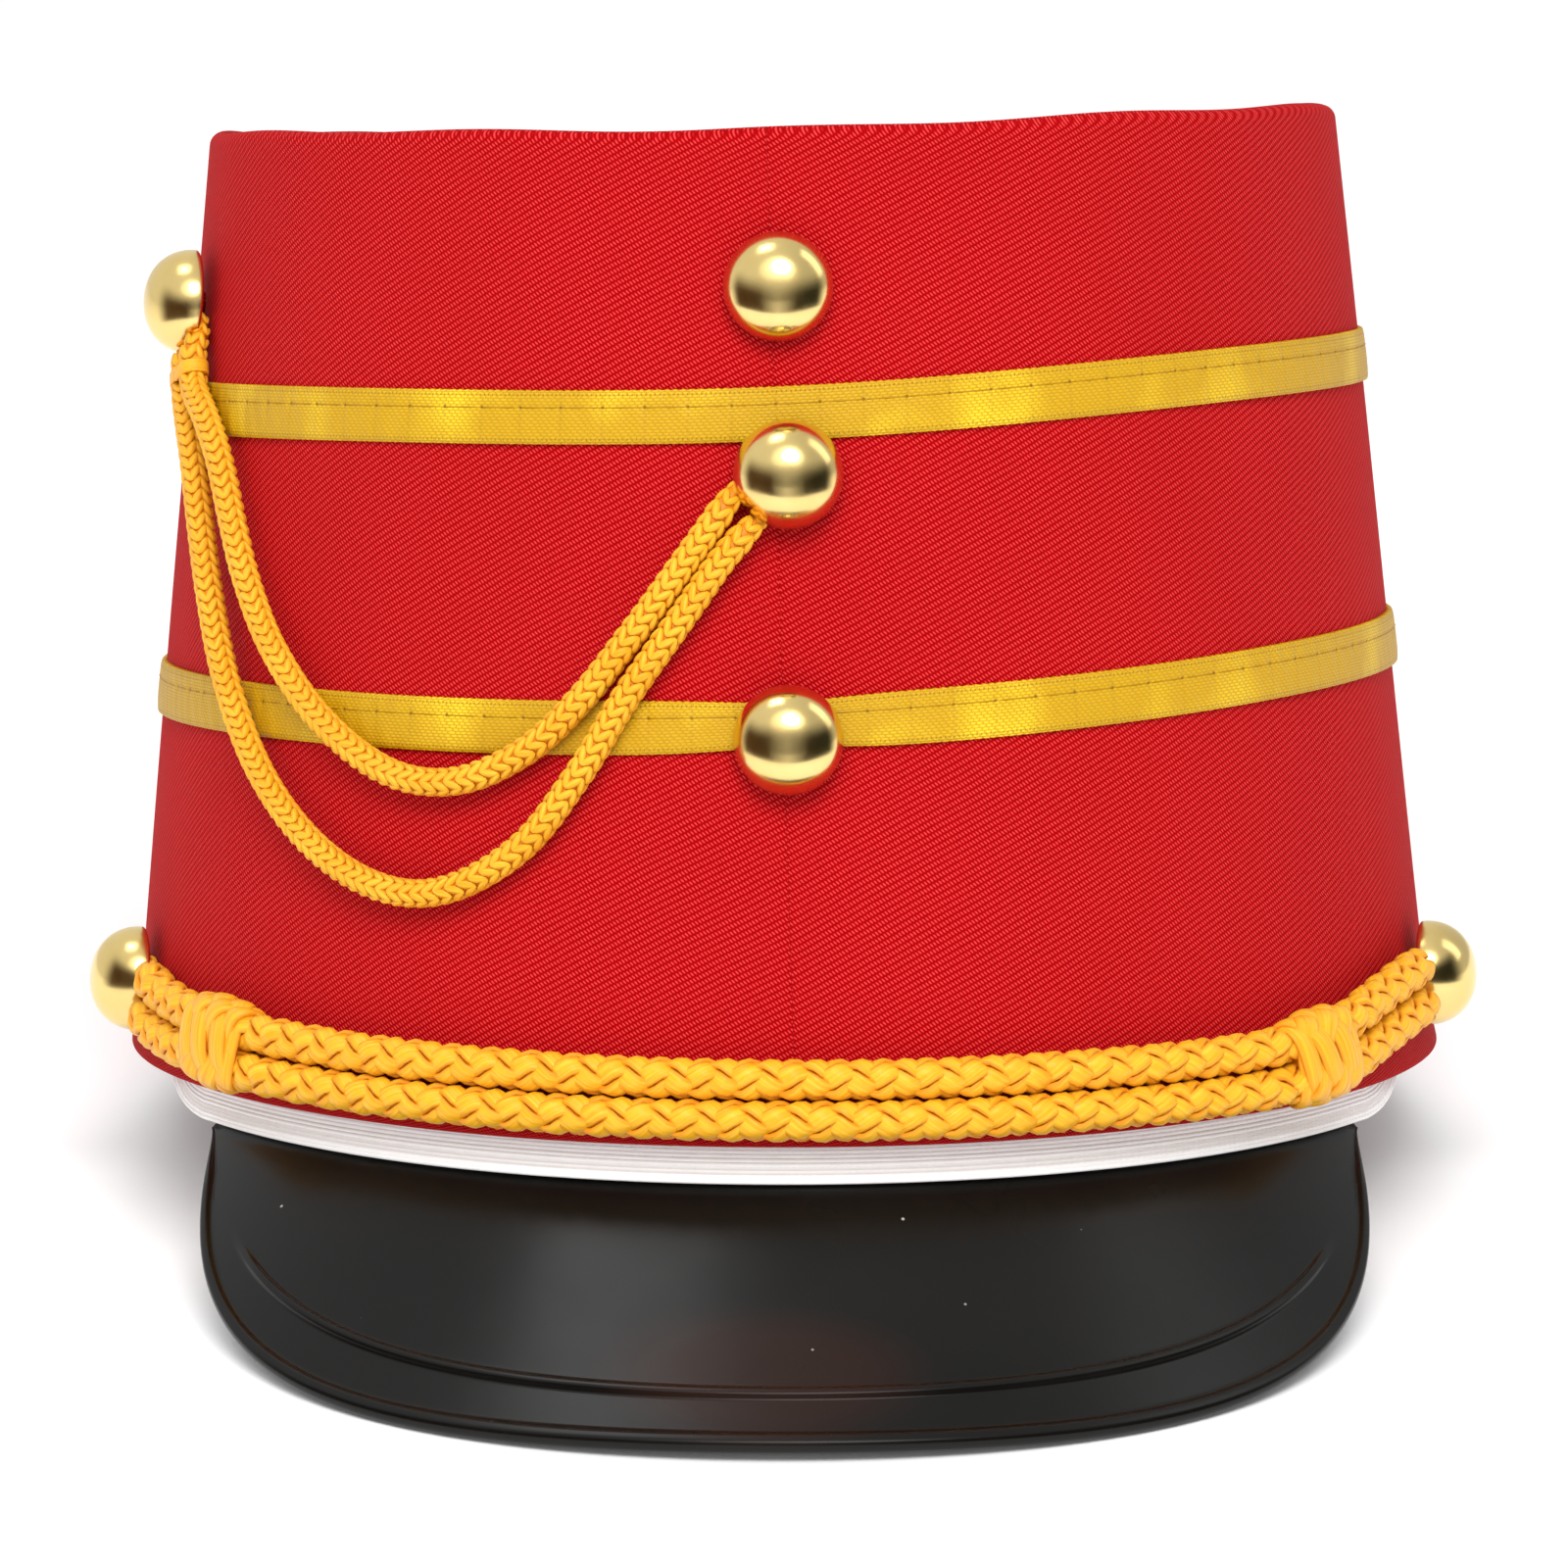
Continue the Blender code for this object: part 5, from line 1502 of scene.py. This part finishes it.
class SHAKO_OT_cap_cord(bpy.types.Operator):
    """Build the cap cord's two braided ropes."""

    bl_idname = "shako.cap_cord"
    bl_label = "Cap cord"

    def execute(self, context):
        settings = context.scene.shako_cords
        thread = gold_thread("filament_braid_gold", settings, 9.0)
        tree = wound_strands_tree()
        pitch = STRAND_DIAMETER + GAP
        outer = STRAND_DIAMETER / 2.0 + GAP / 2.0 + STRAND_FULLNESS
        for name, side, start in (("cap_cord_upper", 0.5, 0.35), ("cap_cord_lower", -0.5, 0.15)):
            middle = beside_cap_cord(cap_cord_route(), pitch * side)

            def place(route):
                return crown_point(route[:, 0], route[:, 1], strand_offset(route[:, 0]))

            route, runs = evenly_spaced(middle, place, STRAND_SPACING)
            share = cord_share(runs, STRAND_UNDER_BUTTON, STRAND_END_LENGTH)
            full = strand_offset(route[:, 0])
            guide, _ = cord_guide(route, runs, full, STRAND_DIAMETER, STRAND_END_DIAMETER, share)
            weave_depth = settings.strand_thickness * 0.5
            mesh = grown_mesh(name + "_braid", guide, tree, {
                "Strands": settings.braid_strands, "Turns per Metre": 1.0 / settings.braid_pitch,
                "Start Angle": start,
                "Winding Radius": outer - weave_depth - settings.strand_thickness / 2.0,
                "Weave Depth": weave_depth, "Spread": 0.0, "Strand Width": settings.strand_width,
                "Strand Thickness": settings.strand_thickness,
                "Core Radius": STRAND_DIAMETER / 2.0 - 0.0008, "Material": thread,
            })
            add_piece(name + "_braid", mesh, name)
        self.add_knots(thread, tree)
        return {"FINISHED"}

    def crossings_passed(self, t):
        """How many crossings of the knot lie behind each place, with a slow turn at its edges."""
        crossing = KNOT_BIGHTS * t / math.pi
        within = np.mod(crossing, KNOT_LEADS)
        last = KNOT_LEADS - 1.0
        late = np.where(within > last, last + (within - last) / 2.0, within)
        step = np.where(within < 1.0, 0.5 + within / 2.0, late)
        return np.floor(crossing / KNOT_LEADS) * last + step

    def add_knots(self, thread, tree):
        """A woven ring knot round both ropes at each side."""
        middle = cap_cord_route()
        spread = (STRAND_DIAMETER + GAP) / 2.0
        for name, degrees in KNOT_ANGLES:
            centre = math.radians(degrees)
            height = np.interp(centre, middle[:, 0], middle[:, 1])
            slope = np.interp(centre + KNOT_TILT_SPAN, middle[:, 0], middle[:, 1]) - height
            tilt = math.atan2(slope, KNOT_TILT_SPAN * RIM_RADIUS)
            along, upward, out = crown_axes(centre, height)
            lengthwise = along * math.cos(tilt) + upward * math.sin(tilt)
            crosswise = upward * math.cos(tilt) - along * math.sin(tilt)
            base = strand_offset(centre)
            count = KNOT_SAMPLES * KNOT_LEADS
            t = np.linspace(0.0, math.tau * KNOT_LEADS, count, endpoint=False)
            lengthways = np.cos(KNOT_BIGHTS * t / KNOT_LEADS)
            lift = KNOT_LIFT * np.cos(math.pi * self.crossings_passed(t))
            bulge = 1.0 - lengthways ** 2
            radius = STRAND_DIAMETER / 2.0 - 0.0001 + KNOT_SWELL * bulge + lift
            away = np.stack((np.sin(t), np.cos(t)), axis=1)
            up = spread * np.tanh(away[:, 0] / WRAP_SHARPNESS) + radius * away[:, 0]
            deep = np.maximum(radius * away[:, 1], KNOT_CLEARANCE - base + 0.75 * lift)
            half = KNOT_LENGTH / 2.0
            points = (crown_point(centre, height, base)
                      + lengthwise * (lengthways * half)[:, None]
                      + crosswise * up[:, None] + out * deep[:, None])
            outward = crosswise * away[:, :1] + out * away[:, 1:]
            runs = t * KNOT_RUN_PER_RADIAN
            guide = guide_line(to_frame(points), turned(outward), runs, 1.0, closed=True)
            mesh = grown_mesh(name + "_wraps", guide, tree, {
                "Strands": 1, "Strand Width": KNOT_STRAND_WIDTH,
                "Strand Thickness": KNOT_STRAND_THICKNESS, "Material": thread,
            })
            add_piece(name + "_wraps", mesh, name)
            shares = np.linspace(-1.0, 1.0, KNOT_CORE_POINTS)
            for part, shift in (("upper", spread), ("middle", 0.0), ("lower", -spread)):
                line = (crown_point(centre, height, base) + crosswise * shift
                        + lengthwise * (shares * half)[:, None])
                swell = 1.0 - KNOT_CORE_TAPER * shares ** 4
                outs = turned(np.tile(out, (KNOT_CORE_POINTS, 1)))
                guide = guide_line(to_frame(line), outs, 0.0, swell)
                core = grown_mesh(name + "_core_" + part, guide, tree, {
                    "Strands": 0, "Core Radius": STRAND_DIAMETER / 2.0 + KNOT_CORE_EXTRA,
                    "Material": thread,
                })
                add_piece(name + "_core_" + part, core)


def swag_offset():
    """The hanging cords pass over the ribbons."""
    return GAP + RIBBON_THICKNESS + GAP + SWAG_DIAMETER / 2.0


def swag_route(rows):
    """A hanging cord's middle line, as angles and heights."""
    return smooth_route([(math.radians(degrees), CROWN_HEIGHT * share) for degrees, share in rows])


def swag_place(route):
    """Where a hanging cord's full middle line lies, in the hat's own axes."""
    return crown_point(route[:, 0], route[:, 1], swag_offset())


class SHAKO_OT_swag_cords(bpy.types.Operator):
    """Build the two knitted cords that hang in loops, and the thread that binds them."""

    bl_idname = "shako.swag_cords"
    bl_label = "Swag cords"

    def execute(self, context):
        settings = context.scene.shako_cords
        thread = gold_thread("filament_knit_gold", settings, 3.0)
        tree = laid_stitches_tree()
        binding = self.add_binding(thread)
        for name, rows in SWAG_CORDS:
            route, runs = evenly_spaced(swag_route(rows), swag_place, settings.knit_pitch)
            share = cord_share(runs, SWAG_UNDER_BUTTON, SWAG_END_LENGTH)
            full = swag_offset()
            guide, points = cord_guide(
                route, runs, full, SWAG_DIAMETER, SWAG_END_DIAMETER, share
            )
            mesh = grown_mesh(name + "_knit", guide, tree, {
                "Stitches Around": settings.knit_stitches, "Lean": KNIT_LEAN,
                "Cord Radius": SWAG_DIAMETER / 2.0 - STITCH_SUNK,
                "Core Radius": SWAG_DIAMETER / 2.0 - KNIT_CORE_SUNK,
                "Stitch Length": settings.knit_pitch * 1.5, "Stitch Width": KNIT_STITCH_WIDTH,
                "Stitch Depth": KNIT_STITCH_DEPTH, "Material": thread,
            })
            piece = add_piece(name + "_knit", mesh, name)
        return {"FINISHED"}

    def add_binding(self, thread):
        """A few turns of thread square across both cords, just below the button."""
        level = CROWN_HEIGHT * BINDING_HEIGHT_SHARE
        inner = swag_route(SWAG_INNER_ROUTE)
        near_row = inner[np.argmin(np.abs(inner[:, 1] - level))]
        near = swag_place(near_row[None])[0]
        others = swag_place(swag_route(SWAG_OUTER_ROUTE))
        far = others[np.argmin(np.linalg.norm(others - near, axis=1))]
        out = crown_axes(near_row[0], near_row[1])[2]
        across = near - far
        wide = unit(across - out * (across @ out))
        along = np.cross(out, wide)
        t = np.linspace(0.0, math.tau * BINDING_TURNS, BINDING_SAMPLES * BINDING_TURNS)
        radius = SWAG_DIAMETER / 2.0 + 0.0001
        away = np.stack((np.sin(t), np.cos(t)), axis=1)
        flat = np.linalg.norm(across) / 2.0 * np.tanh(away[:, 0] / WRAP_SHARPNESS)
        drift = (t / t[-1] - 0.5) * BINDING_WIDTH
        points = ((near + far) / 2.0 + wide * (flat + radius * away[:, 0])[:, None]
                  + out * (radius * away[:, 1])[:, None] + along * drift[:, None])
        outward = wide * away[:, :1] + out * away[:, 1:]
        runs = t * BINDING_RUN_PER_RADIAN
        guide = guide_line(to_frame(points), turned(outward), runs, 1.0)
        mesh = grown_mesh("swag_binding_thread", guide, wound_strands_tree(), {
            "Strands": 1, "Strand Width": BINDING_THREAD_WIDTH,
            "Strand Thickness": BINDING_THREAD_THICKNESS, "Material": thread,
        })
        return add_piece("swag_binding_thread", mesh, "swag_binding")


class SHAKO_OT_stage(bpy.types.Operator):
    """Set up the floor, the soft lights and the camera."""

    bl_idname = "shako.stage"
    bl_label = "Stage"

    def execute(self, context):
        settings = context.scene.shako_stage
        self.add_floor(settings)
        self.add_dark_room()
        for name, place, width, height, share, matt, glossy in STUDIO_LIGHTS:
            lamp = self.add_light(name, place, width, height, settings.key_power * share)
            lamp.visible_diffuse = matt
            lamp.visible_glossy = glossy
        world = bpy.data.worlds.new("studio")
        world.use_nodes = True
        tree = world.node_tree
        way = add_node(tree, "ShaderNodeTexCoord").outputs["Generated"]
        parts = add_node(tree, SEPARATE, {0: way})
        links = {
            "Value": parts.outputs["X"], "From Min": -0.1, "From Max": 0.7,
            "To Min": settings.fill_light, "To Max": settings.fill_light * 0.7,
        }
        falling = add_node(tree, RANGE, links)
        background = tree.nodes["Background"]
        background.inputs["Color"].default_value = opaque(linear("FBFBFC"))
        tree.links.new(falling.outputs[0], background.inputs["Strength"])
        context.scene.world = world
        context.scene.view_settings.view_transform = "Standard"
        camera = bpy.data.objects.new("camera", bpy.data.cameras.new("camera"))
        camera.data.lens = CAMERA_LENS
        camera.data.sensor_width = CAMERA_SENSOR
        camera.location = CAMERA_PLACE
        camera.rotation_euler = (CAMERA_TILT, 0.0, 0.0)
        context.scene.collection.objects.link(camera)
        context.scene.camera = camera
        return {"FINISHED"}

    def add_floor(self, settings):
        """A wide sheet of white paper."""
        mesh = bpy.data.meshes.new("floor")
        corners = [(x * FLOOR_REACH, y * FLOOR_REACH) for x, y in FLOOR_CORNERS]
        mesh.from_pydata([(x, y, 0.0) for x, y in corners], [], [(0, 1, 2, 3)])
        mesh.materials.append(studio_paper(settings))
        floor = bpy.data.objects.new("floor", mesh)
        bpy.context.scene.collection.objects.link(floor)

    def add_dark_room(self):
        """A low ring round the table that only reflections show."""
        turns = math.tau * np.arange(DARK_ROOM_SEGMENTS) / DARK_ROOM_SEGMENTS
        ring = np.stack((np.sin(turns), -np.cos(turns)), axis=1) * DARK_ROOM_RADIUS
        levels = (DARK_ROOM_FOOT, DARK_ROOM_HEIGHT)
        points = np.stack([np.insert(ring, 2, level, axis=1) for level in levels], axis=1)
        weave = np.zeros((DARK_ROOM_SEGMENTS + 1, 2, 2))
        mesh = shell("dark_room", points, weave, True, False)
        mesh.materials.append(dark_room())
        room = bpy.data.objects.new("dark_room", mesh)
        room.visible_camera = False
        room.visible_diffuse = False
        room.visible_shadow = False
        room.visible_transmission = False
        bpy.context.scene.collection.objects.link(room)

    def add_light(self, name, place, width, height, power):
        """A soft rectangular light that faces the hat."""
        light = bpy.data.lights.new(name, "AREA")
        light.shape = "ELLIPSE" if name in ("front", "glow") else "RECTANGLE"
        light.size = width
        light.size_y = height
        light.energy = power
        lamp = bpy.data.objects.new(name, light)
        lamp.location = place
        towards = Vector(LIGHTS_AIM) - Vector(place)
        lamp.rotation_euler = towards.to_track_quat("-Z", "Y").to_euler()
        lamp.visible_camera = False
        bpy.context.scene.collection.objects.link(lamp)
        return lamp


class SHAKO_PT_parts(bpy.types.Panel):
    """The shako's pieces, in the order that they are built."""

    bl_label = "Shako"
    bl_space_type = "VIEW_3D"
    bl_region_type = "UI"
    bl_category = "Shako"

    def draw(self, context):
        for operator in OPERATORS:
            self.layout.operator(operator.bl_idname)


SETTINGS = (
    ("shako_crown", SHAKO_PG_crown),
    ("shako_ribbons", SHAKO_PG_ribbons),
    ("shako_cords", SHAKO_PG_cords),
    ("shako_elastic", SHAKO_PG_elastic),
    ("shako_hard", SHAKO_PG_hard),
    ("shako_stage", SHAKO_PG_stage),
)
OPERATORS = (
    SHAKO_OT_stage,
    SHAKO_OT_swag_cords,
    SHAKO_OT_crown,
    SHAKO_OT_ribbons,
    SHAKO_OT_buttons,
    SHAKO_OT_peak,
    SHAKO_OT_elastic,
    SHAKO_OT_cap_cord,
)


def register():
    for label, group in SETTINGS:
        bpy.utils.register_class(group)
        setattr(bpy.types.Scene, label, PointerProperty(type=group))
    for operator in OPERATORS:
        bpy.utils.register_class(operator)
    bpy.utils.register_class(SHAKO_PT_parts)


def unregister():
    bpy.utils.unregister_class(SHAKO_PT_parts)
    for operator in reversed(OPERATORS):
        bpy.utils.unregister_class(operator)
    for label, group in reversed(SETTINGS):
        delattr(bpy.types.Scene, label)
        bpy.utils.unregister_class(group)


def main():
    register()
    bpy.ops.shako.stage()
    bpy.ops.shako.swag_cords()
    bpy.ops.shako.crown()
    bpy.ops.shako.ribbons()
    bpy.ops.shako.buttons()
    bpy.ops.shako.peak()
    bpy.ops.shako.elastic()
    bpy.ops.shako.cap_cord()


if __name__ == "__main__":
    main()
